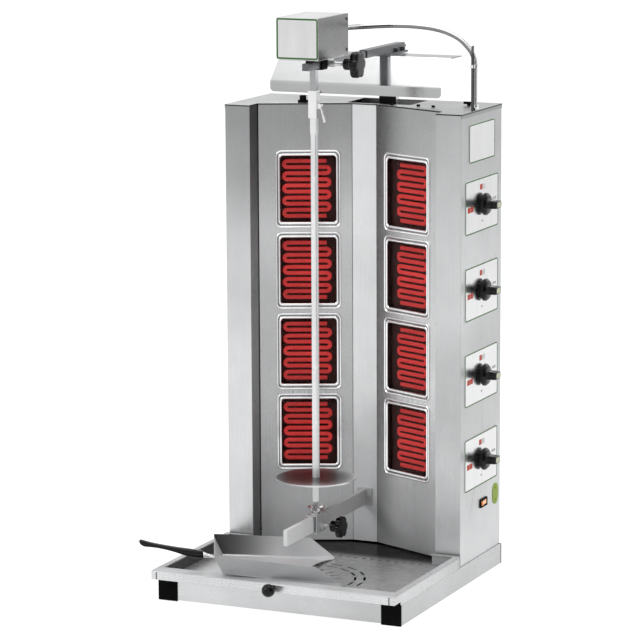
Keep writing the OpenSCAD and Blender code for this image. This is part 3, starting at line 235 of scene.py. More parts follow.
def plastic(name, colour, rough, grain=1600.0, strength=0.15, level=0.3):
    """Moulded plastic: fine spark-eroded grain, faint dust and rubbed gloss."""
    s = Shader(name, Metallic=0.0)
    s.bsdf.inputs["IOR"].default_value = 1.5
    s.bsdf.inputs["Specular IOR Level"].default_value = level
    fine = s.noise(grain, detail=2)
    dust = s.noise(35.0, detail=6, rough=0.7)
    lighter = tuple(min(1.0, c * 1.5 + 0.004) for c in colour)
    s.set("Base Color", s.mix(s.remap(dust, 0, 1, (0.42, 0.75)), colour, lighter))
    s.set("Roughness", s.math("ADD", s.remap(dust, rough * 0.8, rough * 1.25), s.remap(fine, -0.02, 0.04)))
    s.bump(fine, strength, 0.00008)
    return s.mat


def enamel(name, colour, rough, tone=0.94):
    """Sprayed lacquer: orange peel, slight fading and small specks."""
    s = Shader(name, Metallic=0.0)
    s.bsdf.inputs["Specular IOR Level"].default_value = 0.12
    peel = s.noise(420.0, detail=2)
    fade = s.noise(14.0, detail=4, rough=0.6)
    speck = s.noise(900.0, detail=1)
    base = s.mix(s.remap(fade, 0, 1), tuple(c * tone for c in colour), colour)
    s.set("Base Color", s.mix(s.remap(speck, 0, 0.12, (0.66, 0.8)), base, tuple(c * 0.6 for c in colour)))
    s.set("Roughness", s.remap(fade, rough * 0.8, rough * 1.3))
    s.bump(peel, 0.08, 0.0001)
    return s.mat


def glowing(name):
    """Hot ribbon: brighter in the middle of each window, with darker oxide flecks."""
    s = Shader(name, Metallic=0.0)
    z = s.node("ShaderNodeSeparateXYZ", Vector=s.coords).outputs["Z"]
    t = s.math("DIVIDE", s.math("SUBTRACT", z, ZONE_Z * MM), ZONE_PITCH * MM)
    t = s.math("ABSOLUTE", s.math("SUBTRACT", t, s.math("ROUND", t)))
    fleck = s.noise(260.0, detail=4, rough=0.6)
    grain = s.noise((90, 90, 400), detail=3)
    heat = s.math("MULTIPLY", s.remap(t, 1.0, 0.72, (0.0, 0.42)), s.remap(fleck, 0.8, 1.12))
    colour = s.mix(s.remap(heat, 0, 1, (0.6, 1.0)), (0.42, 0.028, 0.03), (0.72, 0.055, 0.05))
    s.set("Base Color", s.mix(s.remap(grain, 0, 0.4), (0.42, 0.035, 0.038), (0.20, 0.02, 0.02)))
    s.set("Emission Color", colour)
    s.set("Emission Strength", s.math("MULTIPLY", heat, 0.46))
    s.bsdf.inputs["Roughness"].default_value = 0.6
    s.bump(fleck, 0.2, 0.0003)
    return s.mat


def dark_glass(name):
    s = Shader(name, Metallic=0.0)
    s.bsdf.inputs["Transmission Weight"].default_value = 1.0
    s.bsdf.inputs["IOR"].default_value = 1.1
    haze = s.noise(18.0, detail=5, rough=0.6)
    s.set("Base Color", s.mix(s.remap(haze, 0, 1), (0.88, 0.66, 0.64), (0.96, 0.76, 0.74)))
    s.set("Roughness", s.remap(haze, 0.0, 0.05))
    return s.mat


def fibre(name):
    s = Shader(name, Metallic=0.0)
    lump = s.noise(170.0, detail=6, rough=0.65)
    strand = s.noise((900, 900, 120), detail=3)
    s.set("Base Color", s.mix(s.remap(lump, 0, 1), (0.012, 0.004, 0.004), (0.026, 0.009, 0.008)))
    s.set("Roughness", s.remap(strand, 0.85, 1.0))
    n = s.bump(lump, 0.5, 0.0008)
    s.bump(strand, 0.3, 0.0003, n)
    return s.mat


def cast(name, colour, rough):
    s = Shader(name, Metallic=1.0)
    pit = s.noise(330.0, detail=5, rough=0.6)
    oil = s.noise(28.0, detail=4, rough=0.6)
    s.set("Base Color", s.mix(s.remap(oil, 0, 1), tuple(c * 0.75 for c in colour), colour))
    s.set("Roughness", s.remap(oil, rough * 0.7, rough * 1.2))
    s.bump(pit, 0.18, 0.0003)
    return s.mat


def lens(name):
    """Lit plastic: orange, with hotter and cooler spots."""
    s = Shader(name, Metallic=0.0)
    s.bsdf.inputs["Coat Weight"].default_value = 0.6
    s.bsdf.inputs["Coat Roughness"].default_value = 0.05
    glow = s.noise(190.0, detail=2)
    s.set("Base Color", s.mix(s.remap(glow, 0, 1), (0.70, 0.16, 0.02), (0.85, 0.26, 0.05)))
    s.set("Emission Color", s.mix(s.remap(glow, 0, 1), (0.75, 0.16, 0.02), (1.0, 0.42, 0.10)))
    s.set("Emission Strength", s.remap(glow, 0.25, 0.75))
    s.set("Roughness", s.remap(glow, 0.12, 0.22))
    s.bump(glow, 0.1, 0.0002)
    return s.mat


def step(s, axis, low, high, start, end):
    """Goes from low to high between two places along an axis, given in millimetres."""
    return s.remap(s.place(axis), low, high, (start * MM, end * MM))


def fold_shadow_mask(s):
    """One below the fold of the top sheet, near zero above it, where the painted shadow line lies."""
    return step(s, "Z", 1.0, 0.10, TOP_Z - 3.0, TOP_Z - 2.7)


def fold_shadow(s, tone):
    """Painted shadow: a dark line where the top sheet folds down over the uprights."""
    return s.mix(1.0, tone, fold_shadow_mask(s), "MULTIPLY")


def tray_rim(s, below, above):
    return step(s, "Z", below, above, RIM_Z - 2.6, RIM_Z - 2.2)


def by_height(stops):
    return lambda s: fold_shadow(s, s.ramp(s.place("Z"), stops, 0.0, 1.1))


def left_post_painted_light(s):
    """Left post: painted reflections graded by height, with painted shade on its inner return at both ends.
    """
    inside = s.math("MULTIPLY", s.remap(s.place("X"), 0.0, 1.0, (-0.199, -0.197)),
                    s.remap(s.place("Y"), 0.0, 1.0, (ORIGIN.y + 0.3052, ORIGIN.y + 0.3062)))
    ends = s.ramp(s.place("Z"), ((0.04, 0.36), (0.22, 0.40), (0.40, 0.80), (0.56, 1.0), (0.80, 0.80),
                                 (0.91, 0.7)), 0.0, 1.0)
    return s.mix(1.0, by_height(LEFT_POST)(s), s.mix(inside, (1.0, 1.0, 1.0), ends), "MULTIPLY")


def dull_below(s):
    """Panels mirror less near the tray, where fat has filmed them."""
    return s.ramp(s.place("Z"), ((0.04, 0.05), (0.18, 0.08), (0.28, 0.45), (0.38, 0.82)), 0.0, 1.1)


def scoop_metal(s):
    """The scoop's floor mirrors more than its walls."""
    far, near, along = scoop_sides(s)
    return s.math("SUBTRACT", 0.65, s.math("MULTIPLY", s.math("MAXIMUM", far, near), 0.5))


def tray_metal(s):
    """The tray mirrors on its floor, less on its rim and hardly on its back strip, which carries painted
    shade.
    """
    return s.math("MULTIPLY", tray_rim(s, 1.0, 0.2), s.math("MULTIPLY", back_shade_mask(s), 0.75))


def across(stops):
    return lambda s: s.ramp(s.place("X"), stops, -0.26, 0.26)


def arm_painted_shade(s):
    """Lower arm: painted shade, darker behind its carriage than in front of it."""
    return s.remap(s.place("Y"), 1.0, 0.55, (ORIGIN.y + 0.176, ORIGIN.y + 0.182))


def post_painted_shade(s):
    """Arm post: painted shade on its front face and painted light on its sides."""
    normal = s.tree.nodes.new("ShaderNodeNewGeometry").outputs["Normal"]
    return s.remap(s.dot(normal, (0, 1, 0)), 0.05, 1.2, (-0.8, -0.6))


def right_panel_painted_shade(s):
    """Right panel: painted shade on the strip next to the column, and painted light and shade graded by
    height.
    """
    x = s.ramp(s.place("X"), ((0.02, 0.40), (0.045, 0.46), (0.075, 0.85), (0.12, 0.95), (0.19, 1.0)),
               0.0, 0.2)
    z = s.ramp(s.place("Z"), ((0.04, 1.45), (0.16, 1.3), (0.26, 1.1), (0.36, 0.95), (0.60, 0.88),
                              (0.80, 0.76), (0.90, 0.62)), 0.0, 1.0)
    return fold_shadow(s, s.mix(1.0, x, z, "MULTIPLY"))


def back_shade_mask(s):
    """One on the tray floor, near zero on the strip at its back, where shade is painted."""
    back = ORIGIN.y + PANEL_Y * MM
    return s.ramp(s.place("Y"), ((-0.30, 1.0), (back - 0.056, 0.95), (back - 0.040, 0.45),
                                 (back - 0.024, 0.05), (back - 0.010, 0.01)), -0.4, 0.4)


def tray_painted_light(s):
    """Painted shade on the back of the tray floor and on its side walls, and a painted reflection graded from
    left to right on its rim and outer faces.
    """
    x = s.math("ABSOLUTE", s.math("SUBTRACT", s.place("X"), ORIGIN.x))
    far = back_shade_mask(s)
    wall = s.remap(x, 1.0, 0.22, ((BASIN_HALF - 2.4) * MM, (BASIN_HALF - 2.0) * MM))
    rim = tray_rim(s, 0.0, 1.0)
    outside = s.remap(x, 0.0, 1.0, ((BASIN_HALF + 0.2) * MM, (BASIN_HALF + 0.6) * MM))
    keep = s.math("MAXIMUM", s.math("MAXIMUM", wall, rim), outside)
    side_to_side = s.ramp(s.place("X"), ((-0.25, 1.47), (0.0, 1.25), (0.25, 0.85)), -0.26, 0.26)
    raised = s.math("MAXIMUM", rim, outside)
    back_and_wall_shade = s.mix(1.0, far, keep, "MULTIPLY")
    return s.mix(1.0, back_and_wall_shade, s.mix(raised, (1.0, 1.0, 1.0), side_to_side), "MULTIPLY")


def disc_painted_light(s):
    """Disc darker round the spit, with a painted highlight on its edge and painted light towards its right.
    """
    x = s.math("SUBTRACT", s.place("X"), ORIGIN.x)
    y = s.math("SUBTRACT", s.place("Y"), ORIGIN.y + SPIT_Y * MM)
    r = s.math("SQRT", s.math("ADD", s.math("MULTIPLY", x, x), s.math("MULTIPLY", y, y)))
    rings = s.ramp(r, ((0.0, 0.12), (0.040, 0.13), (0.058, 0.45), (0.070, 0.75), (0.0755, 1.2)), 0.0, 0.08)
    paler = s.ramp(x, ((-0.076, 0.25), (0.0, 0.6), (0.05, 1.7), (0.076, 1.8)), -0.08, 0.08)
    return s.mix(1.0, rings, paler, "MULTIPLY")


def housing_painted_shade(s):
    """Painted shade on the sides of the motor housing, darker than its top."""
    x = s.math("ABSOLUTE", s.math("SUBTRACT", s.place("X"), ORIGIN.x + MOTOR_X * MM))
    return s.ramp(x, ((0.0, 1.0), (0.0405, 1.0), (0.0418, 0.27), (0.05, 0.27)), 0.0, 0.05)


def hood_edge(s):
    """One on the deflector's flat top, zero on its slope and lip."""
    edge = ORIGIN.y + (HOOD_Y + HOOD_RISE) * MM
    return s.remap(s.place("Y"), 0.0, 1.0, (edge - 0.0002, edge + 0.0006))


def hood_metal(s):
    """The flat top hardly mirrors, the rest does."""
    return s.math("SUBTRACT", 1.0, s.math("MULTIPLY", hood_edge(s), 0.9))


def hood_painted_shade(s):
    """Painted shade on the lip and flat top, darker than the slope between them."""
    lip = s.ramp(s.place("Z"), ((0.90, 0.50), (0.945, 0.54), (0.951, 0.58), (0.953, 1.0), (1.0, 1.0)),
                 0.9, 1.05)
    return s.mix(hood_edge(s), lip, (0.30, 0.30, 0.30))


def top_painted_light(s):
    """Top sheet: painted reflection, paler at the left, with a painted shadow line along its folded edge."""
    line = s.math("MAXIMUM", fold_shadow_mask(s), step(s, "Z", 0.0, 1.0, TOP_Z - 0.5, TOP_Z - 0.2))
    return s.mix(1.0, across(((-0.25, 1.6), (0.0, 1.0), (0.25, 0.60)))(s), line, "MULTIPLY")


def scoop_sides(s):
    """Masks of the scoop's far and near walls, and the place along its floor."""
    origin = scoop_point(0, 0, 0)
    rel = s.tree.nodes.new("ShaderNodeVectorMath")
    rel.operation = "SUBTRACT"
    s.put(rel.inputs[0], s.coords)
    s.put(rel.inputs[1], tuple(origin))
    along, across_it = (
        s.dot(rel.outputs[0], tuple((scoop_point(*way) - origin).normalized()))
        for way in ((100, 0, 0), (0, 100, 0))
    )
    edge = s.math("MULTIPLY_ADD", along, SCOOP_SPREAD, SCOOP_BACK / 2 * MM)
    far = s.remap(s.math("SUBTRACT", across_it, edge), 0.0, 1.0, (0.0, 0.0015))
    near = s.remap(s.math("ADD", across_it, edge), 1.0, 0.0, (-0.0015, 0.0))
    return far, near, along


def scoop_painted_light(s):
    """Scoop: painted light and shade, with a pale floor and two darker walls that pale towards the mouth."""
    far, near, along = scoop_sides(s)
    far_grey = s.ramp(along, ((-0.02, 0.06), (0.02, 0.10), (0.06, 0.32), (0.10, 0.95), (0.14, 1.4),
                              (0.20, 1.45)), -0.02, 0.22)
    near_grey = s.ramp(along, ((-0.02, 0.85), (0.10, 1.1), (0.20, 1.47)), -0.02, 0.22)
    return s.mix(near, s.mix(far, (1.42, 1.42, 1.42), far_grey), near_grey)


# Colour of bare sheet, and (place, grey) stops: by height for uprights, left panel, column and
# spit, and from left to right for the front member. They stand in for a studio's reflections.
STEEL = (0.68, 0.685, 0.69)
LEFT_POST = ((0.04, 1.0), (0.40, 1.0), (0.60, 0.90), (0.72, 0.66), (0.82, 0.48), (0.915, 0.40))
RIGHT_POST = (
    (0.04, 0.90), (0.22, 0.86), (0.40, 0.66), (0.54, 0.84), (0.66, 0.90), (0.80, 0.70), (0.915, 0.64),
)
LEFT_PANEL = (
    (0.04, 1.0), (0.20, 0.95), (0.30, 0.72), (0.42, 0.60), (0.66, 0.86), (0.80, 0.54), (0.915, 0.43),
)
COLUMN = ((0.04, 1.47), (0.20, 1.47), (0.36, 1.25), (0.50, 1.02), (0.915, 1.0))
SPIT = ((0.10, 0.85), (0.30, 1.0), (0.50, 1.08), (0.85, 1.08))
FRONT_MEMBER = ((-0.25, 1.12), (0.0, 0.95), (0.25, 0.66))


def rail_painted_shade(s):
    """Right rail: painted shade, a little paler towards the back."""
    return s.remap(s.place("Y"), 0.70, 0.80, (-0.26, 0.26))


MATS = {
    "post_left": brushed("steel_post_left", STEEL, 0.30, "z", shade=left_post_painted_light),
    "post_right": brushed("steel_post_right", STEEL, 0.30, "z", shade=by_height(RIGHT_POST)),
    "steel_up": brushed("steel_brushed_up", STEEL, 0.30, "z"),
    "recess_left": brushed("steel_recess_left", STEEL, 0.26, "z", shade=by_height(LEFT_PANEL),
                           metal=dull_below),
    "recess_right": brushed("steel_recess_right", STEEL, 0.26, "z", shade=right_panel_painted_shade, metal=dull_below),
    "column": brushed("steel_column", STEEL, 0.30, "z", shade=by_height(COLUMN), metal=dull_below),
    "steel_across": brushed("steel_brushed_across", STEEL, 0.27, "x"),
    "member": brushed("steel_front_member", STEEL, 0.27, "x", shade=across(FRONT_MEMBER)),
    # Near-black without gloss on the drip pan and the bottom panel: painted shade.
    "shade_black": plastic("painted_shade_black", (0.008, 0.007, 0.006), 0.9, strength=0.3, level=0.0),
    # Lower arm: a paler copy of the sheet as painted light, with painted shade behind its carriage.
    "arm": brushed("steel_lower_arm", (0.97, 0.975, 0.98), 0.30, "y", shade=arm_painted_shade, metal=0.1),
    "arm_post": brushed("steel_arm_post", STEEL, 0.28, "z", shade=post_painted_shade, metal=0.6),
    "rail": brushed("steel_rail_right", STEEL, 0.28, "y", shade=rail_painted_shade),
    # Spit rod: a paler copy of the sheet as painted light, with painted reflections graded by height.
    "rod": brushed("spit_rod_drawn", (0.92, 0.925, 0.93), 0.22, "z", metal=0.45,
                   shade=by_height(SPIT)),
    "tray": brushed("steel_tray_used", STEEL, 0.26, "x", shade=tray_painted_light, metal=tray_metal),
    "disc": brushed("steel_disc_painted_light", STEEL, 0.30, "x", shade=disc_painted_light),
    "scoop": brushed("steel_scoop", STEEL, 0.34, "x", shade=scoop_painted_light, metal=scoop_metal),
    "steel_deep": brushed("steel_brushed_deep", STEEL, 0.28, "y"),
    "hood": brushed("hood_polished_sheet", (0.80, 0.805, 0.81), 0.12, "x", wear=0.3, shade=hood_painted_shade,
                    metal=hood_metal),
    "housing": brushed("housing_brushed", STEEL, 0.24, "y", shade=housing_painted_shade),
    # Top sheet in a darker copy of the sheet colour: painted shade.
    "top": brushed("steel_top_painted_shade", (0.47, 0.475, 0.48), 0.27, "x", shade=top_painted_light),
    "bar": brushed("bar_brushed", (0.62, 0.625, 0.63), 0.30, "y", metal=0.5),
    "shaft": brushed("shaft_drawn", (0.36, 0.365, 0.37), 0.26, "z"),
    "channel": brushed("channel_dark_zinc", (0.13, 0.135, 0.14), 0.30, "y"),
    "bright": polished("bright_steel_worn", (0.76, 0.76, 0.76), 0.16),
    "rim": polished("polished_rim", (0.90, 0.90, 0.905), 0.10),
    "groove": polished("rim_groove_painted_shade", (0.24, 0.24, 0.245), 0.22),
    "dark": cast("dark_steel_oiled", (0.10, 0.10, 0.105), 0.34),
    "iron": cast("gear_housing", (0.22, 0.23, 0.24), 0.5),
    "black": plastic("black_moulded", (0.003, 0.003, 0.0035), 0.55, level=0.04),
    "gloss": plastic("black_gloss_moulded", (0.002, 0.002, 0.0025), 0.10, strength=0.04, level=0.22),
    "pale": plastic("pale_moulded", (0.66, 0.70, 0.50), 0.45, level=0.3),
    "plate": polished("plate_satin_foil", (0.67, 0.67, 0.675), 0.16, 500.0),
    "border": enamel("border_lacquer", (0.045, 0.17, 0.03), 0.25),
    "red": enamel("mark_red", (0.66, 0.045, 0.015), 0.3),
    "white": enamel("mark_white", (0.90, 0.90, 0.89), 0.3),
    "faint": enamel("mark_grey", (0.55, 0.53, 0.54), 0.3),
    "ink": enamel("mark_dark", (0.03, 0.035, 0.04), 0.35),
    "lime": enamel("cover_lacquer", (0.36, 0.52, 0.03), 0.25),
    "glow": glowing("heater_ribbon_hot"),
    "glass": dark_glass("heater_glass_dark"),
    "fibre": fibre("pressed_fibre"),
    "lens": lens("rocker_lens"),
    "conduit": polished("conduit_bright", (0.78, 0.785, 0.79), 0.12),
    "conduit_painted_shade": polished("conduit_shaded_side", (0.22, 0.222, 0.225), 0.16),
}

DRESS = {
    "rail_left": ("steel_deep", 1.5), "rail_right": ("rail", 1.5), "rail_caps": ("black", 0.8),
    "front_member": ("member", 0.5), "rear_member": ("steel_across", 0.5),
    "drip_pan": ("shade_black", 0.3), "tray": ("tray", 0.3),
    "side_left": ("post_left", 0.5), "side_right": ("post_right", 0.5), "back_panel": ("steel_up", 0.4),
    "top_panel": ("top", 0.3), "bottom_panel": ("shade_black", 0.3),
    "heater_panel_left": ("recess_left", 0.4), "heater_panel_right": ("recess_right", 0.4),
    "centre_column": ("column", 0.4), "glass_left": ("glass", 0), "glass_right": ("glass", 0),
    "elements_left": ("glow", 0.3), "elements_right": ("glow", 0.3), "insulation_boards": ("fibre", 0.6),
    "control_plates": ("plate", 0.2), "badge_plate": ("plate", 0.2), "rotary_switches": ("black", 0.5),
    "terminal_block": ("pale", 0.5), "mains_gland": ("black", 0.5), "switch_frame": ("black", 0.5),
    "switch_rocker": ("lens", 0.4), "cover_plate": ("lime", 0.2), "top_fittings": ("black", 0.5),
    "lower_arm": ("arm", 0.6), "lower_carriage": ("bar", 0.4), "bearing_cup": ("bright", 0.3),
    "spit_rod": ("rod", 0.3), "meat_disc": ("disc", 0.6), "drive_shaft": ("shaft", 0.5),
    "coupling_sleeve": ("bright", 0.5), "coupling_latch": ("bright", 0.4), "arm_post": ("arm_post", 0.5),
    "upper_arm_bar": ("channel", 0.5), "deflector": ("hood", 0.4), "motor_housing": ("housing", 1.0),
    "motor_plate": ("plate", 0.3), "gear_motor": ("iron", 1.0), "motor_carriage": ("bar", 0.4),
    "shaft_bearing": ("black", 0.5), "motor_gland": ("conduit", 0.3),
    "conduit_fittings": ("conduit", 0.3), "support_rod": ("dark", 0.4), "scoop_blade": ("scoop", 0.2),
}


def dress(name, mat, width):
    """Gives a CAD node its material, and eases its edges by a modifier."""
    o = NODES[name]
    o.data.materials.clear()
    o.data.materials.append(MATS[mat])
    if "custom_normal" in o.data.attributes:
        o.data.attributes.remove(o.data.attributes["custom_normal"])
    o.data.polygons.foreach_set("use_smooth", [True] * len(o.data.polygons))
    weld = o.modifiers.new("weld", "WELD")
    weld.merge_threshold = 2e-6
    if width:
        b = o.modifiers.new("edge", "BEVEL")
        b.width = width * MM
        b.segments = 2
        b.limit_method = "ANGLE"
        b.angle_limit = math.radians(32)
        b.harden_normals = True
        b.use_clamp_overlap = True
    else:
        o.data.polygons.foreach_set("use_smooth", [False] * len(o.data.polygons))


for node_name, (mat_name, width) in DRESS.items():
    dress(node_name, mat_name, width)


# Pieces made here


def piece(name, verts, faces, mat, body, slot=None, smooth=32, bevel=0.0):
    mesh = bpy.data.meshes.new(name)
    mesh.from_pydata([tuple(v) for v in verts], [], faces)
    mesh.validate()
    bm = bmesh.new()
    bm.from_mesh(mesh)
    bmesh.ops.remove_doubles(bm, verts=bm.verts, dist=1e-6)
    bmesh.ops.recalc_face_normals(bm, faces=bm.faces)
    bm.to_mesh(mesh)
    bm.free()
    mesh.polygons.foreach_set("use_smooth", [True] * len(mesh.polygons))
    mesh.set_sharp_from_angle(angle=math.radians(smooth))
    mesh.materials.append(MATS[mat])
    o = bpy.data.objects.new(name, mesh)
    bpy.context.scene.collection.objects.link(o)
    if bevel:
        b = o.modifiers.new("edge", "BEVEL")
        b.width, b.segments, b.limit_method = bevel * MM, 2, "ANGLE"
        b.angle_limit = math.radians(32)
        b.harden_normals = True
    if body:
        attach(o, body)
    return o


def loft(loops, closed_ends=True):
    """Faces between loops of equal length, capped at both ends."""
    n = len(loops[0])
    verts = [v for loop in loops for v in loop]
    faces = []
    for i in range(len(loops) - 1):
        for k in range(n):
            a, b = i * n + k, i * n + (k + 1) % n
            faces.append((a, b, b + n, a + n))
    if closed_ends:
        faces.append(tuple(reversed(range(n))))
        faces.append(tuple((len(loops) - 1) * n + k for k in range(n)))
    return verts, faces


def joined(parts):
    """One mesh from several pairs of vertices and faces."""
    verts, faces = [], []
    for v, f in parts:
        off = len(verts)
        verts += v
        faces += [tuple(a + off for a in q) for q in f]
    return verts, faces


def rounded(w, h, r, steps=6):
    """Outline of a rectangle with round corners, in the plane."""
    pts = []
    for cx, cy, a0 in ((1, 1, 0), (-1, 1, 90), (-1, -1, 180), (1, -1, 270)):
        for i in range(steps + 1):
            a = math.radians(a0 + 90 * i / steps)
            pts.append((cx * (w / 2 - r) + r * math.cos(a), cy * (h / 2 - r) + r * math.sin(a)))
    return pts


def ring(r, count):
    return [
        (r * math.cos(2 * math.pi * i / count), r * math.sin(2 * math.pi * i / count))
        for i in range(count)
    ]


def axis_frame(origin, way):
    """Maps (u, v, w) to the frame, with w along way."""
    w = Vector(way).normalized()
    u = w.orthogonal().normalized() if abs(w.z) > 0.9 else Vector((0, 0, 1)).cross(w).normalized()
    v = w.cross(u)

    def put(a, b, c):
        q = Vector(origin) + u * a + v * b + w * c
        return at(q.x, q.y, q.z)

    return put


def lathe(name, origin, way, profile, mat, body, slot=None, count=48, smooth=32):
    """Turned piece from (radius, height) pairs along an axis."""
    put = axis_frame(origin, way)
    loops = [[put(x, y, h) for x, y in ring(max(r, 0.001), count)] for r, h in profile]
    v, f = loft(loops)
    return piece(name, v, f, mat, body, slot, smooth)


def screw_head(name, origin, way, r, h, mat, body, slot=None):
    """Domed head with a cross recess."""
    put = axis_frame(origin, way)
    count = 32
    loops = []
    for rr, hh in ((r, 0), (r, h * 0.35), (r * 0.92, h * 0.65), (r * 0.72, h * 0.9)):
        loops.append([put(x, y, hh) for x, y in ring(rr, count)])
    inner, deep = [], []
    for i in range(count):
        a = 2 * math.pi * i / count
        k = max(abs(math.cos(a)), abs(math.sin(a)))
        rr = r * (0.16 + 0.42 * max(0.0, (k - 0.94) / 0.06))
        inner.append(put(rr * math.cos(a), rr * math.sin(a), h))
        deep.append(put(rr * 0.8 * math.cos(a), rr * 0.8 * math.sin(a), h * 0.4))
    v, f = loft(loops + [inner, deep])
    return piece(name, v, f, mat, body, slot, 30)


# Window frames with two bright ridges and a groove between them, the groove in painted shade
run, rise = INNER_X - COLUMN_X, COLUMN_Y - PANEL_Y
panel_len = math.hypot(run, rise)
UX, UY = -run / panel_len, rise / panel_len
VX, VY = -rise / panel_len, -run / panel_len
BEZEL_U = panel_len / 2 + 6
WINDOW_ROWS = [ZONE_Z + i * ZONE_PITCH for i in range(ZONES)]


def on_panel(side, u, v, z):
    return at(side * (INNER_X + u * UX + v * VX), PANEL_Y + u * UY + v * VY, z)


# Section of a frame, outside to inside: inset, height over the panel, corner radius
FRAME_SECTION = (
    (0, 0.02, 11), (0, 1.7, 11), (0.5, 2.6, 10.6), (1.3, 3.0, 10), (2.3, 2.7, 9.4), (2.9, 1.5, 9),
    (3.3, 1.1, 8.6), (4.9, 1.1, 7.6), (5.3, 1.5, 7.3), (6.0, 2.7, 7), (7.0, 2.9, 6.6), (8.2, 2.4, 6.2),
    (9.0, 1.0, 6), (9.0, 0.02, 6),
)
FRAME_GROOVE = (5, 6, 7)
FRAME_RIM, FRAME_TALLER = 9, 5


def window_frames(side, name, node):
    w, h = WINDOW_W + 2 * BEZEL_RIM, WINDOW_H + 2 * BEZEL_RIM + FRAME_TALLER
    stretch = 1 + FRAME_TALLER / 2 / FRAME_RIM
    parts = []
    for z in WINDOW_ROWS:
        loops = [
            [on_panel(side, BEZEL_U + x, v, z + y)
             for x, y in rounded(w - 2 * inset, h - 2 * (inset * stretch), r, 8)]
            for inset, v, r in FRAME_SECTION
        ]
        v, f = loft(loops, closed_ends=False)
        n = len(loops[0])
        last = (len(loops) - 1) * n
        f += [(last + k, last + (k + 1) % n, (k + 1) % n, k) for k in range(n)]
        parts.append((v, f))
    verts, faces = joined(parts)
    o = piece(name, verts, faces, "rim", "cabinet", "bright_steel", 50)
    # Groove faces take a darker copy of the polished steel: painted shade in the groove.
    o.data.materials.append(MATS["groove"])
    for i in range(ZONES):
        for row in FRAME_GROOVE:
            for k in range(n):
                o.data.polygons[i * len(f) + row * n + k].material_index = 1
    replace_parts(o, node)


window_frames(1, "window_frames_right", "bezels_right")
window_frames(-1, "window_frames_left", "bezels_left")


# Heating ribbons: one strip that runs to and fro, with a round turn at alternate ends
RIBBON_W, RIBBON_PITCH, RIBBON_BARS, RIBBON_V, RIBBON_T = 7.5, 12.0, 10, -8.0, 2.0
RIBBON_SECTION = (
    (-1, 0.4), (-0.8, 0.0), (0.8, 0.0), (1, 0.4), (1, 1.5), (0.85, RIBBON_T), (-0.85, RIBBON_T), (-1, 1.5),
)


def ribbon_line(low, high):
    """Middle line of one ribbon, from its lowest bar to its highest."""
    line = []
    for i in range(RIBBON_BARS):
        z = (i - (RIBBON_BARS - 1) / 2) * RIBBON_PITCH
        ends = [high, low] if i % 2 == 0 else [low, high]
        line += [(ends[0] + (ends[1] - ends[0]) * k / 8, z) for k in range(9)]
        if i < RIBBON_BARS - 1:
            for k in range(1, 12):
                a = math.radians(-90 + 180 * k / 12)
                out = RIBBON_PITCH / 2 * math.cos(a) * (-1 if i % 2 == 0 else 1)
                line.append((ends[1] + out, z + RIBBON_PITCH / 2 * (1 + math.sin(a))))
    return line


def ribbons(side, name, node, low, high):
    """low and high are the ends of the straight runs, outwards and towards the column."""
    line = ribbon_line(low, high)
    parts = []
    for row in WINDOW_ROWS:
        loops = []
        for i, (u, z) in enumerate(line):
            before, after = line[max(i - 1, 0)], line[min(i + 1, len(line) - 1)]
            du, dz = after[0] - before[0], after[1] - before[1]
            size = math.hypot(du, dz)
            nu, nz = -dz / size * RIBBON_W / 2, du / size * RIBBON_W / 2
            loops.append([
                on_panel(side, BEZEL_U + u + k * nu, RIBBON_V + v, row + z + k * nz)
                for k, v in RIBBON_SECTION
            ])
        parts.append(loft(loops))
    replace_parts(piece(name, *joined(parts), "glow", "cabinet", "heater_ribbon", 50), node)


ribbons(1, "heater_ribbons_right", "elements_right", -38.5, 25.0)
ribbons(-1, "heater_ribbons_left", "elements_left", -41.0, 35.5)


# Flat trim on the plates: borders and marks
TRIM_T, PLATE_BORDER, MOTOR_BORDER = 0.14, 2.5, 3.0
plate_top = HALF_W + 1.0
plate_rows = [PLATE_Z + i * PLATE_PITCH for i in range(ZONES)]


def plate_marks(tone, outlines, mat):
    """Thin marks on the control plates; each outline is a list of (y, z)."""
    parts = []
    for outline in outlines:
        n = len(outline)
        verts = [at(plate_top + h, y, z) for h in (0, TRIM_T) for y, z in outline]
        faces = [tuple(n + k for k in range(n)), tuple(reversed(range(n)))]
        faces += [(k, (k + 1) % n, n + (k + 1) % n, n + k) for k in range(n)]
        parts.append((verts, faces))
    piece(f"plate_marks_{tone}", *joined(parts), mat, "cabinet", "plate_enamel", 30)


def border(name, put, frames, width, body):
    """Raised line round each rounded rectangle; put maps (x, y, height)."""
    parts = []
    for cx, cy, w, h, r in frames:
        outer, inner = rounded(w, h, r), rounded(w - 2 * width, h - 2 * width, max(r - width, 0.5))
        loops = [
            [put(cx + x, cy + y, z) for x, y in loop]
            for loop, z in ((outer, 0), (outer, TRIM_T), (inner, TRIM_T), (inner, 0))
        ]
        parts.append(loft(loops + [loops[0]], closed_ends=False))
    piece(name, *joined(parts), "border", body, "green_enamel", 30)


border("plate_borders", lambda y, z, h: at(plate_top + h, y, z),
       [(SIDE_Y, z, PLATE_W - 1, PLATE_H - 1, 6) for z in plate_rows]
       + [(SIDE_Y, BADGE_Z, BADGE_W - 1, BADGE_H - 1, 6)],
       PLATE_BORDER, "cabinet")


def square(y, z, w, h):
    return [(y + a * w / 2, z + b * h / 2) for a, b in ((-1, -1), (1, -1), (1, 1), (-1, 1))]


def dot(y, z, r):
    return [(y + a, z + b) for a, b in ring(r, 20)]


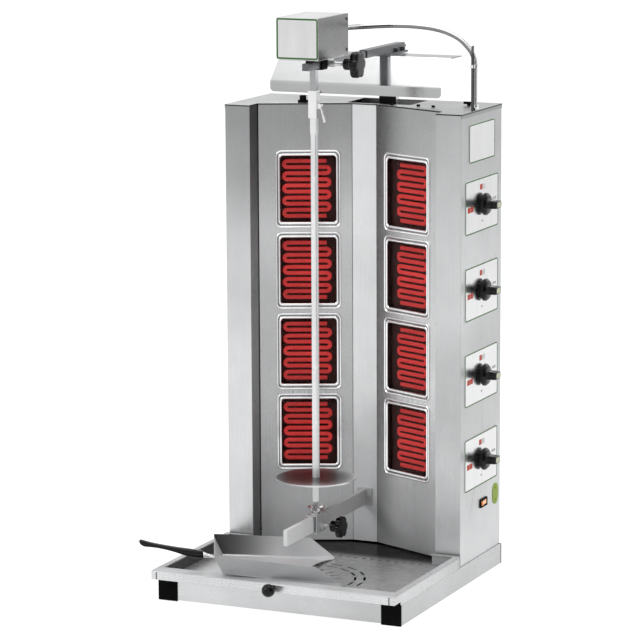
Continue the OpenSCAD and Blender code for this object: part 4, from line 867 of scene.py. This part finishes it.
reds, whites, greys, darks = [], [], [], []
for z in plate_rows:
    reds.append(square(KNOB_Y - 7.6, z + 34, 13.0, 10.5))
    whites.append(square(KNOB_Y + 7.6, z + 34, 13.0, 10.5))
    reds += [square(KNOB_Y - 70.5, z - 4, 13.5, 10.5), square(KNOB_Y - 55.5, z - 4, 13.5, 10.5)]
    greys += [square(KNOB_Y + 58, z + 4, 8, 5), square(KNOB_Y + 68, z + 4, 8, 5)]
    darks.append(dot(KNOB_Y - 2, z - 32, 1.9))
plate_marks("red", reds, "red")
plate_marks("white", whites, "white")
plate_marks("grey", greys, "faint")
plate_marks("dark", darks, "ink")

motor_mid = (MOTOR_LOW + MOTOR_HIGH) / 2
border("motor_plate_border", lambda x, z, h: at(x, MOTOR_FRONT - 1 - h, z),
       [(MOTOR_X, motor_mid, 2 * MOTOR_HALF - 2, MOTOR_HIGH - MOTOR_LOW - 2, 4.6)],
       MOTOR_BORDER, "upper_carriage")


# Control knobs: narrow foot, bevelled disc, bar grip and a pale pointer let into its end
def dial(i):
    z = plate_rows[i]
    body = f"control_knob_{i + 1}"
    put = axis_frame((KNOB_X, KNOB_Y, z), (1, 0, 0))
    count = 96
    loops = []
    for r, h, flute in (
        (15.0, 0.0, 0), (16.8, 0.0, 0), (17.2, 0.5, 0), (17.2, 3.6, 0), (20.8, 4.0, 0), (21.6, 4.6, 0),
        (21.7, 5.4, 0), (21.7, 8.4, 1), (21.2, 9.2, 1), (17.6, 13.0, 1), (16.6, 13.5, 0.4), (9, 13.6, 0),
    ):
        loops.append([
            put(rr * math.cos(a), rr * math.sin(a), h)
            for a in (2 * math.pi * k / count for k in range(count))
            for rr in (r * (1 - 0.022 * flute * (1 - math.cos(24 * a)) / 2),)
        ])
    v, f = loft(loops)
    skirt = piece(f"dial_skirt_{i + 1}", v, f, "gloss", body, "black_gloss", 28)
    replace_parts(skirt, f"knob_{i + 1}")
    loops = []
    for w, d, r, h in (
        (19.0, 32.0, 8.0, 13.0), (17.4, 30.6, 7.4, 14.4), (16.4, 29.8, 7.0, 16.5), (15.8, 29.2, 6.8, 24),
        (15.2, 28.6, 6.6, 30.5), (14.6, 28.0, 6.2, 32.4), (13.4, 26.8, 5.6, 33.3), (12.4, 25.6, 5.2, 33.5),
    ):
        loops.append([put(x, y, h) for x, y in rounded(d, w, min(r, w / 2 - 0.05), 8)])
    v, f = loft(loops)
    piece(f"dial_grip_{i + 1}", v, f, "gloss", body, "black_gloss", 35)
    loops = [[put(x, y, h) for x, y in rounded(d, w, w / 2 - 0.6, 6)]
             for w, d, h in ((10.4, 20, 32.9), (10.4, 20, 33.75), (9.8, 19.4, 34.0))]
    v, f = loft(loops)
    piece(f"dial_insert_{i + 1}", v, f, "pale", body, "pale_plastic", 35)


for index in range(ZONES):
    dial(index)


# Clamp knobs: lobed head with a cap, hub and a threaded steel stud
STUD_PITCH, STUD_ROOT, STUD_CREST, STUD_END = 1.25, 3.35, 3.95, 3.9


def star(name, node, body, origin, d, hub_d, hub_l, head_t, stud_l):
    put = axis_frame(origin, (1, 0, 0))
    count = 144
    loops = []
    for k, h, lobe in (
        (0.60, -0.5, 0.2), (0.86, 0.2, 0.8), (0.95, 1.0, 1), (1.0, 2.4, 1), (1.0, head_t - 3.2, 1),
        (0.965, head_t - 1.4, 1), (0.89, head_t - 0.5, 1), (0.78, head_t - 0.1, 0.8), (0.5, head_t, 0.3),
    ):
        loop = []
        for i in range(count):
            a = 2 * math.pi * i / count
            wave = (1 - math.cos(6 * a)) / 2
            rr = d / 2 * k * (1 - 0.15 * lobe * wave ** 1.7)
            loop.append(put(rr * math.cos(a), rr * math.sin(a), hub_l + h))
        loops.append(loop)
    v, f = loft(loops)
    head = piece(name + "_head", v, f, "gloss", body, "black_plastic", 40)
    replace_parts(head, node)
    hub_r = hub_d / 2
    lathe(name + "_hub", origin, (1, 0, 0),
          [(hub_r - 1.2, 0), (hub_r, 1.2), (hub_r, hub_l - 4), (hub_r - 0.8, hub_l), (hub_r - 2, hub_l + 1)],
          "gloss", body, "black_plastic")
    profile = [(3.0, -stud_l), (STUD_END, -stud_l + 1.0)]
    for i in range(int((stud_l - 2) / STUD_PITCH)):
        h = -stud_l + 1.2 + i * STUD_PITCH
        profile += [(STUD_ROOT, h), (STUD_CREST, h + 0.6)]
    profile += [(STUD_END, 1.0)]
    lathe(name + "_stud", origin, (1, 0, 0), profile, "bright", body, "bright_steel", 32, 60)
    lathe(name + "_cap", (origin[0] + hub_l + head_t - 0.6, origin[1], origin[2]), (1, 0, 0),
          [(d * 0.24, 0), (d * 0.24, 0.3), (d * 0.22, 0.55), (0.01, 0.6)], "black", body, "black_plastic")


UPPER_HUB_X, UPPER_HUB_Z, UPPER_STUD_TIP = 55.5, 1013.5, 20.8
LOWER_HUB_X, LOWER_HUB_Z, LOWER_STUD_TIP = 31.5, 130, 4.3
star("upper_star", "upper_clamp_knob", "upper_clamp", (UPPER_HUB_X, SPIT_Y + 16, UPPER_HUB_Z),
     d=52, hub_d=21.5, hub_l=17.5, head_t=16, stud_l=UPPER_HUB_X - UPPER_STUD_TIP)
star("lower_star", "lower_clamp_knob", "lower_clamp", (LOWER_HUB_X, SPIT_Y, LOWER_HUB_Z),
     d=41.5, hub_d=21.5, hub_l=13, head_t=13.5, stud_l=LOWER_HUB_X - LOWER_STUD_TIP)


# Ball knob on the tray lip: foot, neck and ball
BALL_PLACE, BALL_R, BALL_OUT = (4, -30, 55.5), 12.5, 20
ball_arc = [math.radians(a) for a in range(30, 181, 6)]
ball = lathe("ball_knob", BALL_PLACE, (0, -1, 0),
             [(6.4, 0), (6.4, 1.6), (5.2, 2.2), (4.4, 4), (4.4, 7.4), (5.6, 8.6)]
             + [(BALL_R * math.sin(a), BALL_OUT - BALL_R * math.cos(a)) for a in ball_arc],
             "gloss", "grease_tray", "black_gloss", 64, 30)
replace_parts(ball, "tray_knob")


# Conduit wound from bright strip, with one helical rib
ROUTE = [
    (18, 0, 0), (18, 10, 0), (18, 20, 0), (20, 32, 0), (25, 46, 0), (34, 61, 0), (47, 77, 0),
    (64, 92, 0.5), (84, 107, 0.5), (106, 119, 0), (129, 130, -2), (151, 138, -5), (172, 144, -10),
    (190, 147.5, -17), (206, 149.5, -26), (219, 150, -37), (229, 150, -49), (234.5, 150, -61),
    (236, 150, -73), (236, 150, -95), (236, 150, -120), (236, 150, -145), (236, 150, -166),
]
CONDUIT_R, CONDUIT_RIB, CONDUIT_PITCH = 4.94, 0.04, 6.0
CONDUIT_START, CONDUIT_END = (18, MOTOR_BACK + 12, CONDUIT_Z), (236, 397, 1004)


def smooth_path(points, step):
    """Even points on a curve through the given ones."""
    dense = []
    for i in range(len(points) - 1):
        p0, p1 = points[max(i - 1, 0)], points[i]
        p2, p3 = points[i + 1], points[min(i + 2, len(points) - 1)]
        for k in range(24):
            t = k / 24
            dense.append(0.5 * ((2 * p1) + (p2 - p0) * t + (2 * p0 - 5 * p1 + 4 * p2 - p3) * t * t
                                + (3 * p1 - p0 - 3 * p2 + p3) * t ** 3))
    dense.append(points[-1])
    out, left = [dense[0]], step
    for a, b in zip(dense, dense[1:]):
        d = (b - a).length
        while d >= left > 0:
            a = a + (b - a) * (left / d)
            out.append(a)
            d = (b - a).length
            left = step
        left -= d
    return out


def conduit():
    start = Vector((0, MOTOR_BACK + 1, CONDUIT_Z))
    pts = smooth_path([start + Vector(p) for p in ROUTE], 1.0)
    side = Vector((1, 0, 0))
    count = 24
    loops = []
    for i, p in enumerate(pts):
        t = (pts[min(i + 1, len(pts) - 1)] - pts[max(i - 1, 0)]).normalized()
        side = (side - t * side.dot(t)).normalized()
        up = t.cross(side)
        loop = []
        for k in range(count):
            a = 2 * math.pi * k / count
            r = CONDUIT_R + CONDUIT_RIB * math.cos(2 * math.pi * i / CONDUIT_PITCH - a)
            q = p + (side * math.cos(a) + up * math.sin(a)) * r
            loop.append(at(q.x, q.y, q.z))
        loops.append(loop)
    v, f = loft(loops)
    o = piece("motor_conduit", v, f, "conduit", None, None, 80)
    # Two lines of faces along the tube take a darker copy of the steel: painted shade.
    o.data.materials.append(MATS["conduit_painted_shade"])
    shaded_faces = set(range(0, 7)) | {18, 19}
    for p in o.data.polygons:
        if len(p.vertices) == 4 and min(p.vertices) % count in shaded_faces:
            p.material_index = 1
    tuple(at(*CONDUIT_START))
    tuple(at(*CONDUIT_END))
    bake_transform(o)
    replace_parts(o, "conduit")


conduit()


# Scoop grip: moulded handle, thick behind its ferrule, slim, with a tail that turns up.
# Stations: share of the length, width, height and lift; for the ferrule place, width and height.
GRIP_STATIONS = (
    (0.0, 11, 12.0, 0.0), (0.012, 14.5, 14.4, 0.0), (0.05, 16, 15.2, 0.0), (0.16, 17.5, 16.2, -0.4),
    (0.28, 18, 14.6, -0.2), (0.38, 17.6, 11.6, 0.7), (0.50, 16.6, 9.4, 1.7), (0.64, 15.6, 8.2, 2.3),
    (0.76, 15.4, 8.4, 2.5), (0.86, 16.2, 10.4, 2.4), (0.92, 17.0, 12.4, 2.6), (0.965, 15.6, 11.4, 3.6),
    (0.99, 12.0, 7.6, 4.8), (1.0, 8.0, 3.6, 5.4),
)
FERRULE = ((-27.5, 12, 3), (-24, 8, 4.4), (-12, 8, 6), (-6, 9.5, 8.6), (-1.2, 10.5, 11), (0.4, 10.5, 11))
GRIP_SQUARENESS = 0.72


def grip_point(away, y, z):
    """A point of the grip: away from its start, sideways and up, in the scoop's frame."""
    rise = math.radians(GRIP_RISE)
    return scoop_point(GRIP_START - away * math.cos(rise) - z * math.sin(rise), y,
                       GRIP_HEIGHT + away * math.sin(rise) + z * math.cos(rise))


def scoop_grip():
    loops = []
    for q, wide, tall, lift in GRIP_STATIONS:
        loop = []
        for k in range(40):
            a = 2 * math.pi * k / 40
            y = wide / 2 * math.copysign(abs(math.cos(a)) ** GRIP_SQUARENESS, math.cos(a))
            z = tall / 2 * math.copysign(abs(math.sin(a)) ** GRIP_SQUARENESS, math.sin(a)) + lift
            loop.append(grip_point(GRIP_LENGTH * q, y, z))
        loops.append(loop)
    v, f = loft(loops)
    grip = piece("scoop_handle", v, f, "gloss", "scoop", "black_plastic", 60)
    sub = grip.modifiers.new("round", "SUBSURF")
    sub.levels = sub.render_levels = 1
    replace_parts(grip, "scoop_grip")
    loops = [
        [grip_point(away, x, y) for x, y in rounded(wide, tall, min(wide, tall) / 2 - 0.1, 5)]
        for away, wide, tall in FERRULE
    ]
    v, f = loft(loops)
    piece("scoop_ferrule", v, f, "bright", "scoop", "bright_steel", 40)


scoop_grip()


# Small fasteners that a maker puts on such a housing and cabinet
SCREW_INSET, MOTOR_SCREW_INSET, BACK_SCREW_ROWS = 8, 10, (60, 340, 620, 890)
for k, z in enumerate((MOTOR_HIGH - MOTOR_SCREW_INSET, MOTOR_LOW + MOTOR_SCREW_INSET)):
    for side, letter in ((-1, "l"), (1, "r")):
        screw_head(f"motor_screw_{k}_{letter}", (MOTOR_X + side * MOTOR_HALF, MOTOR_BACK - SCREW_INSET, z),
                   (side, 0, 0), 3.0, 1.8, "dark", "upper_carriage", "bright_steel")
for k, (side, z) in enumerate([(side, z) for side in (-1, 1) for z in BACK_SCREW_ROWS]):
    screw_head(f"back_screw_{k}", (side * (HALF_W - SCREW_INSET), BACK_Y, z), (0, 1, 0), 3.4, 2.0,
               "bright", "cabinet", "bright_steel")


# Studio: a pale floor and world, a dark card for the steel to mirror, and four soft lamps
FLOOR_HALF = 14


def seen_directly(tree):
    """One for camera, glossy and transmission rays, so that metal and glass show the pale room."""
    path = tree.nodes.new("ShaderNodeLightPath")
    value = path.outputs["Is Camera Ray"]
    for name in ("Is Glossy Ray", "Is Transmission Ray"):
        n = tree.nodes.new("ShaderNodeMath")
        n.operation = "MAXIMUM"
        tree.links.new(value, n.inputs[0])
        tree.links.new(path.outputs[name], n.inputs[1])
        value = n.outputs[0]
    return value


def stage_sheet(name, corners, mat):
    mesh = bpy.data.meshes.new(name)
    mesh.from_pydata(corners, [], [(0, 1, 2, 3)])
    mesh.materials.append(mat)
    o = bpy.data.objects.new(name, mesh)
    bpy.context.scene.collection.objects.link(o)
    return o


def studio():
    s = bpy.context.scene
    world = bpy.data.worlds.new("studio")
    s.world = world
    world.use_nodes = True
    t = world.node_tree
    bg = t.nodes["Background"]
    mix = t.nodes.new("ShaderNodeMix")
    mix.data_type = "RGBA"
    t.links.new(seen_directly(t), mix.inputs["Factor"])
    mix.inputs[6].default_value = (0.42, 0.425, 0.43, 1)
    mix.inputs[7].default_value = (1, 1, 1, 1)
    t.links.new(mix.outputs[2], bg.inputs["Color"])
    bg.inputs["Strength"].default_value = 1.0

    f = Shader("floor_paper")
    fine = f.noise(900.0, detail=2)
    broad = f.noise(0.8, detail=2)
    f.set("Base Color", f.mix(f.remap(broad, 0, 1), (0.44, 0.44, 0.44), (0.46, 0.46, 0.46)))
    f.set("Roughness", f.remap(fine, 0.85, 0.95))
    f.bump(fine, 0.05, 0.0001)
    f.bsdf.inputs["Emission Color"].default_value = (1, 1, 1, 1)
    f.set("Emission Strength", f.math("MULTIPLY", seen_directly(f.tree), 0.84))
    stage_sheet("floor", [(FLOOR_HALF * a, FLOOR_HALF * b, -0.0005) for a, b in
                          ((-1, -1), (1, -1), (1, 1), (-1, 1))], f.mat)

    c = Shader("card_felt")
    nap = c.noise(300.0, detail=3)
    c.set("Base Color", c.mix(c.remap(nap, 0, 1), (0.05, 0.05, 0.05), (0.07, 0.07, 0.07)))
    card = stage_sheet("dark_card", [(2.3, 0.1, 0), (1.5, -1.5, 0), (1.5, -1.5, 2.6), (2.3, 0.1, 2.6)], c.mat)
    card.visible_camera = False
    card.visible_diffuse = False
    card.visible_shadow = False

    def lamp(name, where, aim, size, power, colour=(1, 1, 1)):
        d = bpy.data.lights.new(name, "AREA")
        d.shape = "RECTANGLE"
        d.size, d.size_y = size
        d.energy = power
        d.color = colour
        o = bpy.data.objects.new(name, d)
        s.collection.objects.link(o)
        o.location = where
        o.rotation_euler = (Vector(aim) - Vector(where)).to_track_quat("-Z", "Y").to_euler()
        return o

    lamp("key", (-2.6, -3.2, 3.2), (0, 0, 0.5), (2.2, 2.2), 70)
    lamp("fill", (3.4, -1.6, 2.0), (0, 0, 0.5), (1.6, 2.4), 26)
    lamp("top", (0.2, 0.3, 3.6), (0, 0, 0.5), (2.6, 2.0), 34)
    lamp("back", (1.5, 3.2, 2.4), (0, 0, 0.5), (2.4, 2.0), 26)


studio()

# Camera at the photograph's place: 184 mm lens on a 36 mm wide sensor
PHOTO_YAW, PHOTO_PITCH, PHOTO_ROLL, PHOTO_LENS = 24.1747, 10.1307, -0.2865, 183.963
PHOTO_PLACE = (2504.084, -5378.628, 1616.699)


def camera():
    yaw, pitch, roll = (math.radians(a) for a in (PHOTO_YAW, PHOTO_PITCH, PHOTO_ROLL))
    ahead = Vector((-math.sin(yaw) * math.cos(pitch), math.cos(yaw) * math.cos(pitch), -math.sin(pitch)))
    level = Vector((math.cos(yaw), math.sin(yaw), 0))
    upward = level.cross(ahead)
    right = level * math.cos(roll) + upward * math.sin(roll)
    up = upward * math.cos(roll) - level * math.sin(roll)
    cam = bpy.data.cameras.new("camera")
    cam.sensor_fit = "HORIZONTAL"
    cam.sensor_width = 36
    cam.lens = PHOTO_LENS
    cam.clip_end = 60
    eye = bpy.data.objects.new("camera", cam)
    bpy.context.scene.collection.objects.link(eye)
    place = at(*PHOTO_PLACE)
    eye.matrix_world = Matrix((
        (right.x, up.x, -ahead.x, place.x), (right.y, up.y, -ahead.y, place.y),
        (right.z, up.z, -ahead.z, place.z), (0, 0, 0, 1),
    ))
    return eye


bpy.context.scene.camera = camera()
bpy.context.scene.view_settings.view_transform = "Standard"
